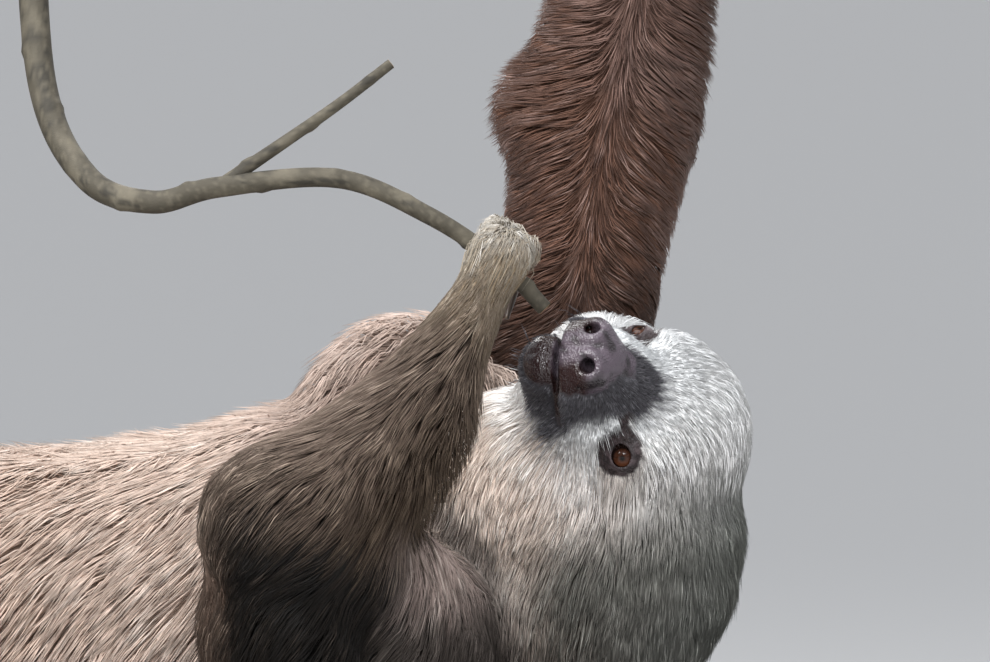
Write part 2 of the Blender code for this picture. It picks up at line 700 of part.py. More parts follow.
def build():
    clear_scene()
    sloth = collection("two_toed_sloth")
    cutters = collection("cutters")
    surfaces = {
        "tan": material("tan_fur", FUR_TAN, 0.85),
        "brown": material("brown_fur", FUR_BROWN, 0.85),
        "russet": material("russet_fur", FUR_RUSSET, 0.85),
        "cream": material("cream_fur", FUR_CREAM, 0.85),
        "nose": material("nose_skin", NOSE_SKIN, 0.35),
        "claw": material("claw_horn", CLAW_HORN, 0.4),
        "eye": material("eye_brown", EYE_BROWN, 0.1),
        "bark": material("bark", BARK_GREY, 0.8),
        "paint": material("stand_paint", STAND_PAINT, 0.5),
        "steel": material("rod_steel", ROD_STEEL, 0.3, 1.0),
    }

    claws = claw_lines()
    head = fused(head_forms(), voxel=0.0022, softening=9, triangles=900)
    body = fused(trunk_forms() + neck_forms() + arm_forms() + leg_forms() + digit_forms(claws),
                 voxel=0.0045, softening=4, triangles=2100)

    near_body = [claw_mesh(line, 2 * GAP) for line in claws.values()]
    near_body += [branch_mesh(GAP), twig_mesh(GAP), swollen(head, 3 * GAP)]
    body = cut_away(body, near_body + parting_cuts(), cutters)
    ears = {side: ear_mesh(side) for side in (-1, 1)}
    head = cut_away(head, head_cutters() + [swollen(ears[side], GAP) for side in (-1, 1)],
                    cutters)
    add_parts(body, body_parts(), surfaces, sloth)
    add_parts(head, head_parts(), surfaces, sloth)

    for side, word in ((1, "left"), (-1, "right")):
        add_object(f"{word}_ear", ears[side], sloth, surfaces["cream"])
        eye = ball_mesh(eye_centre(side), [EYE_RADIUS] * 3)
        add_object(f"{word}_eye", eye, sloth, surfaces["eye"])
    for name, line in claws.items():
        add_object(name, claw_mesh(line), sloth, surfaces["claw"])

    twig = twig_mesh()
    holes = [rod_mesh(side, GAP) for side in (-1, 1)]
    branch = cut_away(branch_mesh(), [twig_mesh(GAP)] + holes, cutters)
    base = cut_away(base_mesh(), [rod_mesh(side, GAP) for side in (-1, 1)], cutters)
    add_object("perch_branch", branch, sloth, surfaces["bark"])
    add_object("perch_side_branch", twig, sloth, surfaces["bark"])
    add_object("stand_base", base, sloth, surfaces["paint"])
    for side, word in ((-1, "rump"), (1, "head")):
        add_object(f"stand_rod_{word}", rod_mesh(side), sloth, surfaces["steel"])


build()
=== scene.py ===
"""The looks of the two-toed sloth: one skin under a coat of combed tufts, with wet nose, eyes and
horn claws, on its bark perch and display stand.

Everything is in metres in the model's own frame. The skin is one surface taken from a volume of
smoothly joined forms, fine round the face and coarser elsewhere. Each tuft starts on the skin,
follows the lie of the coat and ends near the outer surface that the frame gives.
"""

import math
from collections import namedtuple

import bpy
import numpy as np
import openvdb
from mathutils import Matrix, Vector
from mathutils.kdtree import KDTree


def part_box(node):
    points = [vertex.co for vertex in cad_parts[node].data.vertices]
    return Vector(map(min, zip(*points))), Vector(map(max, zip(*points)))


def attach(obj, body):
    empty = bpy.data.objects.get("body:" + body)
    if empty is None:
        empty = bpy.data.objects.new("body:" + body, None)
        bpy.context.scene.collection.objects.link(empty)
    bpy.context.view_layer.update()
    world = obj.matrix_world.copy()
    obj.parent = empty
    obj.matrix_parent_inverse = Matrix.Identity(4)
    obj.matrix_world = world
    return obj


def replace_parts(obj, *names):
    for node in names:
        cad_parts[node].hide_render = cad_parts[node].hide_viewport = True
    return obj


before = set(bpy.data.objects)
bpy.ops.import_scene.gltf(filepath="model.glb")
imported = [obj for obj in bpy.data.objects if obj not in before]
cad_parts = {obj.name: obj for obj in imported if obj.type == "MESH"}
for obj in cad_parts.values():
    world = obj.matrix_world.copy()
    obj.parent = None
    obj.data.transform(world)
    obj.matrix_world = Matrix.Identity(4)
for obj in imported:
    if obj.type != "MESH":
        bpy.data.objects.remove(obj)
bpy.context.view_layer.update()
SEED = 7

# ---------------------------------------------------------------- driving sizes, in metres

EYE_RADIUS = 0.0064
EYE_TURN = 35.0                 # degrees from straight ahead to where each eye looks
LID_OPENING = (0.0050, 0.0040)  # half-width and half-height of the gap between the lids
FORWARD_HINT = Vector((-0.142, -0.883, 0.448))

BRANCH_HEIGHT = 0.585
BRANCH_SIDE = 0.050
BRANCH_REACH = 0.412
BRANCH_RADIUS = 0.0165
TWIG_RADIUS = 0.0034
CLAW_ROOT = 0.0043
CLAW_TIP = 0.0009

# Joints of the limbs, where the frame's solids have them.
JOINTS = {
    "left_shoulder": (0.095, -0.030, 0.182), "left_elbow": (0.060, -0.143, 0.233),
    "left_wrist": (0.1385, -0.080, 0.3270), "left_knuckles": (0.1455, -0.073, 0.3420),
    "right_shoulder": (0.165, 0.116, 0.238), "right_elbow": (0.192, 0.122, 0.402),
    "right_wrist": (0.222, 0.084, 0.530), "right_knuckles": (0.224, 0.079, 0.583),
    "left_hip": (-0.205, 0.035, 0.232), "left_knee": (-0.150, -0.008, 0.368),
    "left_ankle": (-0.196, 0.018, 0.490), "left_toes": (-0.194, 0.0215, 0.583),
    "right_hip": (-0.205, 0.125, 0.232), "right_knee": (-0.158, 0.147, 0.362),
    "right_ankle": (-0.242, 0.082, 0.488), "right_toes": (-0.244, 0.0785, 0.583),
}
JOINTS = {name: Vector(place) for name, place in JOINTS.items()}

# Each length of limb from its outer end inward: its coat, and the radius of its skin at the outer
# end, in the middle and at the inner end.
LIMBS = (
    ("near_hand", "left_knuckles", "left_wrist", (0.0100, 0.0094, 0.0086)),
    ("near_forearm", "left_wrist", "left_elbow", (0.0086, 0.0205, 0.0270)),
    ("near_upper", "left_elbow", "left_shoulder", (0.0270, 0.0350, 0.0370)),
    ("far_hand", "right_knuckles", "right_wrist", (0.0090, 0.0105, 0.0108)),
    ("far_arm", "right_wrist", "right_elbow", (0.0108, 0.0270, 0.0330)),
    ("far_arm", "right_elbow", "right_shoulder", (0.0330, 0.0280, 0.0350)),
    ("feet", "left_toes", "left_ankle", (0.0094, 0.0120, 0.0138)),
    ("near_leg", "left_ankle", "left_knee", (0.0138, 0.0240, 0.0300)),
    ("near_leg", "left_knee", "left_hip", (0.0300, 0.0380, 0.0420)),
    ("feet", "right_toes", "right_ankle", (0.0094, 0.0120, 0.0138)),
    ("far_leg", "right_ankle", "right_knee", (0.0138, 0.0240, 0.0300)),
    ("far_leg", "right_knee", "right_hip", (0.0300, 0.0380, 0.0420)),
)
# Middle line of the trunk from the base of the neck to the rump, and the radius of its skin.
TRUNK = (
    ((0.150, 0.058, 0.216), 0.046), ((0.095, 0.056, 0.209), 0.069), ((0.030, 0.062, 0.186), 0.073),
    ((-0.045, 0.072, 0.176), 0.074), ((-0.120, 0.078, 0.180), 0.071),
    ((-0.195, 0.080, 0.195), 0.061), ((-0.250, 0.080, 0.203), 0.037),
)
NECK = (((0.128, 0.060, 0.212), 0.046), ((0.168, 0.042, 0.232), 0.040),
        ((0.200, 0.012, 0.254), 0.035))
THROAT = (((0.190, -0.010, 0.262), 0.028), ((0.156, -0.004, 0.246), 0.029))
# Other soft masses under the coat: breast, rump, and the hollow before the near shoulder.
MASSES = (
    ((0.108, 0.050, 0.254), (0.044, 0.044, 0.054)), ((-0.236, 0.080, 0.190), (0.055, 0.057, 0.064)),
    ((0.138, 0.008, 0.192), (0.030, 0.028, 0.030)),
)
FLESH = (
    "head muzzle lower_jaw left_ear right_ear neck chest abdomen pelvis left_upper_arm"
    " left_forearm left_hand right_upper_arm right_forearm right_hand left_thigh left_shank"
    " left_foot right_thigh right_shank right_foot"
).split()


# ---------------------------------------------------------------- small tools

def unit(vectors):
    """The vectors at length 1, a whole array at a time."""
    return vectors / np.maximum(np.linalg.norm(vectors, axis=-1, keepdims=True), 1e-12)


def smoothstep(low, high, value):
    t = np.clip((value - low) / (high - low), 0.0, 1.0)
    return t * t * (3 - 2 * t)


def mix(a, b, share):
    """From a to b, where share may be one number for each row."""
    share = np.asarray(share, float)[..., None]
    return np.asarray(a, float) * (1 - share) + np.asarray(b, float) * share


def linear(red, green, blue):
    """A colour as a screen shows it, 0 to 255, as the light that a shader works with."""
    c = np.array([red, green, blue], float) / 255
    return np.where(c <= 0.04045, c / 12.92, ((c + 0.055) / 1.055) ** 2.4)


def wander(points, size, seed, layers=2):
    """Smooth random values from -1 to 1 that vary over the given size: a sum of waves."""
    draw = np.random.default_rng(seed)
    total = np.zeros(len(points))
    weight = 0.0
    for layer in range(layers):
        scale = 2 * math.pi / (size * 0.55 ** layer)
        for _ in range(5):
            direction = unit(draw.normal(size=3))
            total += 0.6 ** layer * np.sin(points @ direction * scale * draw.uniform(0.6, 1.4)
                                           + draw.uniform(0, 6.28))
        weight += 0.6 ** layer * 2.2
    return np.clip(total / weight, -1, 1)


def new_object(name, mesh, surface):
    """An object of one material that rides on the still body."""
    obj = bpy.data.objects.new(name, mesh)
    bpy.context.scene.collection.objects.link(obj)
    mesh.materials.append(surface)
    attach(obj, "root")
    return obj


def mesh_of(name, points, *groups):
    """A smooth-shaded mesh from arrays: its points, and its faces in one group per side count."""
    groups = [np.asarray(group, np.int32) for group in groups if len(group)]
    mesh = bpy.data.meshes.new(name)
    mesh.vertices.add(len(points))
    mesh.vertices.foreach_set("co", np.asarray(points, np.float32).ravel())
    corners = np.concatenate([group.ravel() for group in groups])
    sizes = np.concatenate([np.full(len(group), group.shape[1]) for group in groups])
    mesh.loops.add(len(corners))
    mesh.loops.foreach_set("vertex_index", corners)
    mesh.polygons.add(len(sizes))
    starts = np.concatenate([[0], np.cumsum(sizes)[:-1]])
    mesh.polygons.foreach_set("loop_start", starts.astype(np.int32))
    mesh.polygons.foreach_set("use_smooth", np.ones(len(sizes), bool))
    mesh.update(calc_edges=True)
    return mesh


def mesh_arrays(mesh):
    """The mesh's points, and the numbers of the points of its triangles."""
    mesh.calc_loop_triangles()
    points = np.empty(len(mesh.vertices) * 3, np.float32)
    mesh.vertices.foreach_get("co", points)
    corners = np.empty(len(mesh.loop_triangles) * 3, np.int32)
    mesh.loop_triangles.foreach_get("vertices", corners)
    return points.reshape(-1, 3), corners.reshape(-1, 3)


def paint(mesh, name, colours):
    """Stores one colour for each point of the mesh, for its material to read."""
    layer = mesh.attributes.new(name, "FLOAT_COLOR", "POINT")
    rgba = np.ones((len(mesh.vertices), 4), np.float32)
    rgba[:, :3] = colours
    layer.data.foreach_set("color", rgba.ravel())


def round_angles(count):
    """Angles of evenly spaced points round a circle."""
    return 2 * math.pi * np.arange(count) / count


def bands(rows, around):
    """The quads between rows of points, each row a closed ring."""
    first = np.arange(rows - 1)[:, None] * around
    here, after = np.arange(around), (np.arange(around) + 1) % around
    return np.stack([first + after, first + here, first + around + here,
                     first + around + after], -1).reshape(-1, 4)


# ---------------------------------------------------------------- the head's own frame

def middle_of(node):
    low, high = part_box(node)
    return (low + high) / 2


LEFT_EYE = middle_of("left_eye")
RIGHT_EYE = middle_of("right_eye")
LEFT = (LEFT_EYE - RIGHT_EYE).normalized()
FORWARD = (FORWARD_HINT - FORWARD_HINT.dot(LEFT) * LEFT).normalized()
UP = FORWARD.cross(LEFT)
HEAD_AXES = np.array([FORWARD, LEFT, UP])
EYE_SPACING = (LEFT_EYE - RIGHT_EYE).length * 1000
EYE_PLACE = (-3.8, EYE_SPACING / 2, 0.0)   # of the left eye, on the head, in millimetres
HEAD = (LEFT_EYE + RIGHT_EYE) / 2 - FORWARD * EYE_PLACE[0] / 1000


def on_head(forward, left, up):
    """The place of a point given in millimetres forward, left and up on the head."""
    return HEAD + (FORWARD * forward + LEFT * left + UP * up) / 1000


def head_places(points):
    """Points of the frame as millimetres forward, left and up on the head."""
    return (points - np.array(HEAD)) @ HEAD_AXES.T * 1000


# ---------------------------------------------------------------- signed distances of the forms

def blend_min(a, b, reach):
    """The union of two forms, rounded where they meet over the given reach."""
    h = np.maximum(reach - np.abs(a - b), 0) / reach
    return np.minimum(a, b) - h * h * reach / 4


def carve(a, b, reach):
    """Form a less form b, with a rounded edge."""
    return -blend_min(-a, b, reach)


def ellipsoid(places, centre, radii):
    rel = places - np.array(centre, np.float32)
    near = np.linalg.norm(rel / np.array(radii, np.float32), axis=-1)
    far = np.linalg.norm(rel / np.array(radii, np.float32) ** 2, axis=-1)
    return near * (near - 1) / np.maximum(far, 1e-6)


def cone(places, start, end, radii):
    """A round-ended tapered rod."""
    start = np.array(start, np.float32)
    along = np.array(end, np.float32) - start
    t = np.clip((places - start) @ along / (along @ along), 0, 1)
    gap = np.linalg.norm(places - start - t[..., None] * along, axis=-1)
    return gap - (radii[0] + (radii[1] - radii[0]) * t)


def ring(places, centre, axis, radii, thickness):
    """A flattened torus: its main radii along two directions square to the axis."""
    axis = unit(np.array(axis, float))
    side = unit(np.cross((0, 0, 1), axis))
    rel = places - np.array(centre, np.float32)
    flat = np.stack([rel @ side / radii[0], rel @ np.cross(axis, side) / radii[1]], -1)
    away = (np.linalg.norm(flat, axis=-1) - 1) * min(radii)
    return np.hypot(away, rel @ axis) - thickness


def eye_axis(side):
    turn = math.radians(EYE_TURN)
    return unit(np.array([math.cos(turn), side * math.sin(turn), 0.07]))


def eye_places(places, side):
    """Offsets square to where the eye looks, and the depth along it, in millimetres."""
    axis = eye_axis(side)
    across = unit(np.cross((0, 0, 1), axis))
    rel = places - (np.array(EYE_PLACE) * (1, side, 1)).astype(places.dtype)
    return rel @ across, rel @ np.cross(axis, across), rel @ axis


# In millimetres: how far from the surface its folds and creases reach, and the lids' thickness.
RELIEF_DEPTH = 4
LID_THICKNESS = 1.25
FAR_LID_SHARE = 0.62            # the far eye is half shut


def mouth_height(f, l):
    """Height of the line between the lips: it rises a little to the corners."""
    return -26.4 + 0.0022 * l * l - 0.035 * (30 - f)


def joined(places, d, *forms):
    """Form d with others joined on: for each its kind, its sizes and the reach of its rounding."""
    for form, *sizes, reach in forms:
        d = blend_min(d, form(places, *sizes), reach)
    return d


def raised(d, height):
    """Form d with its surface raised by the given heights, or sunk where they are negative."""
    return d - height * (np.abs(d) < RELIEF_DEPTH)


def skull_and_muzzle(places):
    skull = ellipsoid(places, (-38, 0, 4), (39.5, 40.5, 38.5))
    skull = joined(places, skull,
                   (ellipsoid, (-58, 0, -4), (31, 36.5, 33), 12),
                   (ellipsoid, (-12, 0, 6.5), (20, 25, 19), 10),
                   (cone, (-12, 0, -8), (12, 0, -11), (22, 19.3), 9),
                   (cone, (12, 0, -11), (28, 0, -13), (19.3, 15.6), 7))
    for side in (-1, 1):
        # the last is the bare, slightly raised field of skin that the eye sits in
        skull = joined(places, skull,
                       (ellipsoid, (-33, side * 23, -18.5), (26.5, 21, 23), 12),
                       (ellipsoid, (-6, side * 15, -16), (20, 14, 15.5), 9),
                       (ellipsoid, (-11, side * 21, 10), (12, 8, 8), 9),
                       (ellipsoid, (-6.5, side * 22.5, 0), (13, 8.6, 12), 6))
    # nose pad, upper lip, and the soft mass of the whisker fields beside them
    nose = ellipsoid(places, (34.5, 0, -12.2), (9.6, 16.0, 10.6))
    nose = joined(places, nose, (ellipsoid, (33.5, 0, -19.5), (9.0, 13.4, 7.0), 5))
    for side in (-1, 1):
        nose = joined(places, nose,
                      (ellipsoid, (37.5, side * 8.6, -10.8), (6.4, 7.2, 7.0), 3.5),
                      (ellipsoid, (24, side * 12.5, -18.5), (11, 7.5, 8.2), 5))
    jaw = cone(places, (-24, 0, -31), (0, 0, -32), (15.5, 13.2))
    jaw = joined(places, jaw,
                 (cone, (0, 0, -32), (22, 0, -32.6), (13.2, 9.6), 4),
                 (ellipsoid, (25.5, 0, -33.2), (10.6, 11.6, 8.2), 4))
    return blend_min(blend_min(skull, nose, 4), jaw, 3.2)


def add_lips(d, places):
    """The gap of the mouth, open in front and closing toward the corners, and the lips' rolls."""
    f, l, u = np.moveaxis(places, -1, 0)
    line = mouth_height(f, l)
    opening = 0.25 + 1.25 * smoothstep(16, 36, f)
    inner = ellipsoid(places, (4, 0, -26), (25.0, 17.5, 12))
    side_on = smoothstep(5.5, 9.5, f)
    gap = np.maximum(np.abs(u - line) - opening * side_on + (1 - side_on) * 3, -inner)
    d = carve(d, np.maximum(gap, 4 - f), 1.6)
    for shift, bulge in ((2.7, 0.55), (-2.9, 0.70)):
        band = np.exp(-((u - line - shift) / 1.7) ** 2) * smoothstep(6, 16, f)
        d = raised(d, bulge * band)
    philtrum = np.exp(-(l / 1.3) ** 2) * smoothstep(28, 36, f) * smoothstep(-5, -9, u)
    return raised(d, -0.9 * philtrum)


def add_nostril(d, places, side):
    """The crease round the nose pad, and a round nostril, rimmed and drawn out to a slit."""
    f, l, u = np.moveaxis(places, -1, 0)
    crease = np.exp(-((np.hypot((f - 27) * 0.9, u + 8.5) - 9.2) / 1.3) ** 2)
    crease = crease * smoothstep(7, 11, side * l) * smoothstep(2, -6, u - 2)
    d = raised(d, -0.55 * crease)
    axis = (0.80, side * 0.50, -0.12)
    d = joined(places, d, (ring, (41.6, side * 7.5, -11.6), axis, (4.9, 4.6), 1.35, 2.8))
    hole = cone(places, (47.5, side * 10.6, -11.9), (34, side * 4.6, -11.2), (3.7, 2.3))
    slit = cone(places, (40.5, side * 9, -13.6), (35.5, side * 15.8, -15.2), (1.5, 0.5))
    return carve(carve(d, hole, 1.1), slit, 0.9)


def add_eyelids(d, places, side):
    """Eyelids round the ball, the folds round them, and the tear line toward the muzzle."""
    centre = np.array(EYE_PLACE) * (1, side, 1)
    x, y, depth = eye_places(places, side)
    ball = np.linalg.norm(places - centre.astype(np.float32), axis=-1)
    radius = EYE_RADIUS * 1000
    d = blend_min(d, ball - (radius + LID_THICKNESS), 2.6)
    fold = np.exp(-((np.hypot(x, y * 1.12) - 7.4) / 0.75) ** 2) * (depth > 0)
    second = np.exp(-((np.hypot(x, y * 1.05) - 9.6) / 0.8) ** 2) * (depth > -2)
    d = raised(d, -(0.75 * fold + 0.55 * second))
    wide, high = (1000 * size for size in LID_OPENING)
    taper = 1 - 0.10 * smoothstep(0, 6, -side * x)
    high = high * (1.0 if side > 0 else FAR_LID_SHARE)
    lids = np.hypot((x + side * 1.2) / wide, (y + 0.6) / (high * taper)) - 1
    d = carve(d, np.maximum(lids * high, 2.0 - depth), 1.0)
    tear = cone(places, centre + (7.5, -side * 0.5, -2.0), centre + (14.0, -side * 3.5, -4.5),
                (0.7, 0.5))
    d = carve(d, tear, 1.2)
    return carve(d, ball - (radius + 0.06), 0.25)


def add_ear(d, places, side):
    """A small cupped ear, low on the skull."""
    ear = ellipsoid(places, (-42, side * 39.5, -3), (7.5, 5.0, 9.0))
    cup = ellipsoid(places, (-38.5, side * 43.5, -3), (6.0, 4.6, 7.0))
    return blend_min(d, carve(ear, cup, 1.0), 3)


def head_distance(places):
    """The sculpted head without its coat, in millimetres."""
    d = add_lips(skull_and_muzzle(places), places)
    for side in (-1, 1):
        for add in (add_nostril, add_eyelids, add_ear):
            d = add(d, places, side)
    return d


def chain(line):
    """The stretches between neighbouring points of a line: both ends, and both radii."""
    return [(start, end, (first, last))
            for (start, first), (end, last) in zip(line, line[1:])]


def limb_line(start, end, radii):
    middle = JOINTS[start].lerp(JOINTS[end], 0.5)
    return list(zip((JOINTS[start], middle, JOINTS[end]), radii))


# How far the forms of the body are rounded where they meet.
TRUNK_BLEND = 0.006
NECK_BLEND = 0.014
MASS_BLEND = 0.016
THICK_LIMB = 0.034      # limbs thicker than this blend as far as the soft masses do
LIMB_BLEND = 0.007
DIGIT_BLEND = 0.005
DIGIT_LENGTH = 0.006    # of the flesh behind each claw
DIGIT_RADII = (0.0062, 0.0050)


def body_distance(points):
    """Trunk, neck, limbs and digits without their coat, in metres."""
    d = None
    for start, end, radii in chain(TRUNK):
        stretch = cone(points, start, end, radii)
        d = stretch if d is None else blend_min(d, stretch, TRUNK_BLEND)
    for start, end, radii in chain(NECK) + chain(THROAT):
        d = blend_min(d, cone(points, start, end, radii), NECK_BLEND)
    for centre, radii in MASSES:
        d = blend_min(d, ellipsoid(points, centre, radii), MASS_BLEND)
    for _, start, end, radii in LIMBS:
        reach = MASS_BLEND if max(radii) > THICK_LIMB else LIMB_BLEND
        for low, high, ends in chain(limb_line(start, end, radii)):
            d = blend_min(d, cone(points, low, high, ends), reach)
    for root, second, *_ in claw_lines().values():
        back = root - (second - root).normalized() * DIGIT_LENGTH
        d = blend_min(d, cone(points, back, root, DIGIT_RADII), DIGIT_BLEND)
    return d


# ---------------------------------------------------------------- claws

def branch_point(x):
    """Middle line of the branch, which wanders slightly along its length."""
    return Vector((x, BRANCH_SIDE + 0.004 * math.sin(9 * x),
                   BRANCH_HEIGHT + 0.003 * math.sin(13 * x + 0.6)))


TWIG_PATH = [Vector(point) for point in (
    (-0.060, 0.050, 0.566), (-0.057, 0.040, 0.500), (-0.049, 0.012, 0.415),
    (-0.028, -0.018, 0.375), (0.000, -0.033, 0.3645), (0.028, -0.041, 0.3705),
    (0.078, -0.046, 0.3740), (0.116, -0.050, 0.3585), (0.146, -0.048, 0.3385),
    (0.164, -0.046, 0.3200),
)]


CLAW_GAP = 0.0035       # between a claw's middle line and the branch, past the claw's own radius
FOOT_SPREAD = 0.0145    # between neighbouring claws of a foot
HAND_SPREAD = 0.0085    # of the far hand's claws from its middle
GRIP_SPREAD = 0.0068    # and of the near hand's


def hook_line(centre, radius, steps, start_angle, turn, along, out, tall):
    """Points of a claw that hooks over a stem: an arc about the stem's middle line."""
    line = []
    for t in np.linspace(0, 1, steps):
        angle = math.radians(start_angle + turn * float(t))
        reach = radius * (1 - 0.10 * float(t))
        line.append(Vector(centre) + along + reach * (math.cos(angle) * out
                                                      + math.sin(angle) * tall))
    return line


def claw_lines(steps=6):
    """Middle lines of two claws on each hand and three on each foot."""
    lines = {}
    up = Vector((0, 0, 1))
    grips = (
        ("right_hand", "right_knuckles", 1, (-HAND_SPREAD, HAND_SPREAD)),
        ("left_foot", "left_toes", -1, (-FOOT_SPREAD, 0.0, FOOT_SPREAD)),
        ("right_foot", "right_toes", 1, (-FOOT_SPREAD, 0.0, FOOT_SPREAD)),
    )
    for limb, end, side, spread in grips:
        middle = branch_point(JOINTS[end].x)
        reach = BRANCH_RADIUS + CLAW_ROOT + CLAW_GAP
        for number, shift in enumerate(spread, 1):
            lines[f"{limb}_claw_{number}"] = hook_line(
                middle, reach, steps, start_angle=8, turn=152,
                along=Vector((shift, 0, 0)), out=Vector((0, side, 0)), tall=up)
    stem = (TWIG_PATH[-1] - TWIG_PATH[-3]).normalized()
    tall = Vector((0.25, 0, 0.97))
    for number, shift in enumerate((-GRIP_SPREAD, GRIP_SPREAD), 1):
        lines[f"left_hand_claw_{number}"] = hook_line(
            JOINTS["left_knuckles"] + Vector((-0.001, 0.024, -0.016)), 0.0235, steps,
            start_angle=95, turn=-112, along=stem * shift, out=Vector((0, 1, 0)), tall=tall)
    return lines


# ---------------------------------------------------------------- the coat's outer surface

COAT_STEP = 0.003
SWELL = 0.0015          # closes the thin cuts between the frame's solids
SOFTENING = 2           # rounds off the facets of those solids
SOFTENED = 0.0008       # what that takes off
FIELD_LOW = np.array((-0.345, -0.215, 0.060))
FIELD_HIGH = np.array((0.300, 0.215, 0.630))


def node_arrays(nodes):
    """Points and triangles of several of the frame's solids together."""
    points, triangles, count = [], [], 0
    for node in nodes:
        place, corner = mesh_arrays(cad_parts[node].data)
        points.append(place)
        triangles.append(corner + count)
        count += len(place)
    return np.concatenate(points), np.concatenate(triangles).astype(np.uint32)


class Field:
    """Signed distance to the tips of the coat, negative inside, read between grid points."""

    def __init__(self):
        points, triangles = node_arrays(FLESH)
        pace = openvdb.createLinearTransform(voxelSize=COAT_STEP)
        rough = openvdb.FloatGrid.createLevelSetFromPolygons(
            points=points, triangles=triangles, transform=pace, halfWidth=3.0)
        points, triangles, quads = rough.convertToPolygons(isovalue=SWELL)
        grid = openvdb.FloatGrid.createLevelSetFromPolygons(
            points=points, triangles=triangles, quads=quads, transform=pace,
            exBandWidth=6.0, inBandWidth=30.0)
        first = np.floor(FIELD_LOW / COAT_STEP).astype(int)
        last = np.ceil(FIELD_HIGH / COAT_STEP).astype(int)
        self.values = np.empty(last - first, np.float32)
        grid.copyToArray(self.values, ijk=tuple(int(i) for i in first))
        self.values += SWELL
        for _ in range(SOFTENING):
            for axis in range(3):
                beside = np.roll(self.values, 1, axis) + np.roll(self.values, -1, axis)
                self.values = 0.5 * self.values + 0.25 * beside
        self.values -= SOFTENED
        self.low = first * COAT_STEP

    def at(self, points):
        place = (points - self.low) / COAT_STEP
        place = np.clip(place, 0, np.array(self.values.shape) - 1.001)
        cell = place.astype(int)
        share = place - cell
        total = np.zeros(len(points))
        for corner in np.ndindex(2, 2, 2):
            weight = np.prod(np.where(corner, share, 1 - share), axis=1)
            total += weight * self.values[tuple((cell + corner).T)]
        return total

    def outward(self, points):
        """Direction straight out through the coat."""
        slope = np.empty((len(points), 3))
        for number in range(3):
            shift = np.zeros(3)
            shift[number] = COAT_STEP
            slope[:, number] = self.at(points + shift) - self.at(points - shift)
        return unit(slope)


# ---------------------------------------------------------------- the skin

SKIN_LOW = (-0.325, -0.175, 0.080)
SKIN_HIGH = (0.275, 0.185, 0.612)
FACE_REACH = (0.034, 0.036, 0.037)      # of the finest part of the grid, round the muzzle
FINE, COARSE = ((0.00092, 0.0069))
GROWTH = 0.20                   # of the grid's steps, for each metre away from the face
HEAD_REACH = 0.125              # the head's forms are worked out no farther than this
HAIR_DEPTH = 0.0145             # of the skin under the coat's surface, at most
SKULL_THINNER = 0.0045          # and how much less on the skull
GRID_SCALE, GRID_LIMIT = 400, 8     # what the grid holds, and where it is cut off


def spaced(low, high, fine_low, fine_high):
    """Places along one axis, close together over the face and growing apart away from it."""
    places = [fine_low]
    while places[-1] < high:
        past = max(places[-1] - fine_high, 0)
        places.append(places[-1] + min(FINE + GROWTH * past, COARSE))
    below = [fine_low]
    while below[-1] > low:
        past = fine_low - below[-1]
        below.append(below[-1] - min(FINE + GROWTH * past, COARSE))
    return np.array(below[:0:-1] + places)


def skin_distance(points, field):
    """Distance to the skin in metres: the sculpted forms, no deeper under the coat's surface than
    the hair is thick, and with room for hair over all but the face."""
    cover = field.at(points.reshape(-1, 3)).reshape(points.shape[:-1]).astype(np.float32)
    reach = np.linalg.norm(points - np.array(on_head(-45, 0, -5), np.float32), axis=-1)
    on_skull = smoothstep(0.12, 0.07, reach)
    to_claw = np.minimum.reduce([
        np.linalg.norm(points - np.array(line[0], np.float32), axis=-1)
        for line in claw_lines().values()])
    d = body_distance(points).astype(np.float32)
    d = blend_min(d, cover + HAIR_DEPTH - SKULL_THINNER * on_skull, 0.010)
    room = 0.0032 * smoothstep(0.008, 0.014, to_claw)
    room += 0.0028 * smoothstep(0.03, 0.08, to_claw)
    d = np.maximum(d, cover - 0.0010 + room)
    near = reach < HEAD_REACH
    places = head_places(points[near].astype(np.float64)).astype(np.float32)
    behind = smoothstep(-14, -34, places[..., 0])
    head = np.maximum(head_distance(places) / 1000, cover[near] - 0.02 + 0.0235 * behind)
    d[near] = blend_min(d[near], head.astype(np.float32), 0.008)
    return d


def skin_mesh(field):
    """The skin as one closed surface, read from the forms on an uneven grid."""
    nose = on_head(12, 0, -12)
    axes = [spaced(low, high, middle - reach, middle + reach)
            for low, high, middle, reach in zip(SKIN_LOW, SKIN_HIGH, nose, FACE_REACH)]
    distance = np.empty([len(axis) for axis in axes], np.float32)
    slab = 24                   # layers worked out at a time, to save memory
    for first in range(0, len(axes[0]), slab):
        grid = np.meshgrid(axes[0][first:first + slab], axes[1], axes[2], indexing="ij")
        points = np.stack(grid, -1).astype(np.float32)
        distance[first:first + slab] = skin_distance(points, field)

    grid = openvdb.FloatGrid(background=0.02)
    values = np.clip(distance * GRID_SCALE, -GRID_LIMIT, GRID_LIMIT)
    grid.copyFromArray(np.ascontiguousarray(values))
    corners, triangles, quads = grid.convertToPolygons(isovalue=0.0, adaptivity=0.0)
    places = np.stack([np.interp(corners[:, number], np.arange(len(axis)), axis)
                       for number, axis in enumerate(axes)], -1)
    return places, [np.asarray(triangles), np.asarray(quads)]


# ---------------------------------------------------------------- materials

WET_ROUGHNESS = 0.19            # of the nose
DRY_ROUGHNESS = 0.75            # of the skin under the coat


def material(name, roughness, specular=0.5, metallic=0.0):
    """A new material, its nodes and its shader."""
    made = bpy.data.materials.new(name)
    made.use_nodes = True
    shader = made.node_tree.nodes["Principled BSDF"]
    shader.inputs["Roughness"].default_value = roughness
    shader.inputs["Specular IOR Level"].default_value = specular
    shader.inputs["Metallic"].default_value = metallic
    return made, made.node_tree, shader


def plain(name, colour, roughness):
    """A material of one colour."""
    made, _, shader = material(name, roughness)
    shader.inputs["Base Color"].default_value = (*linear(*colour), 1)
    return made


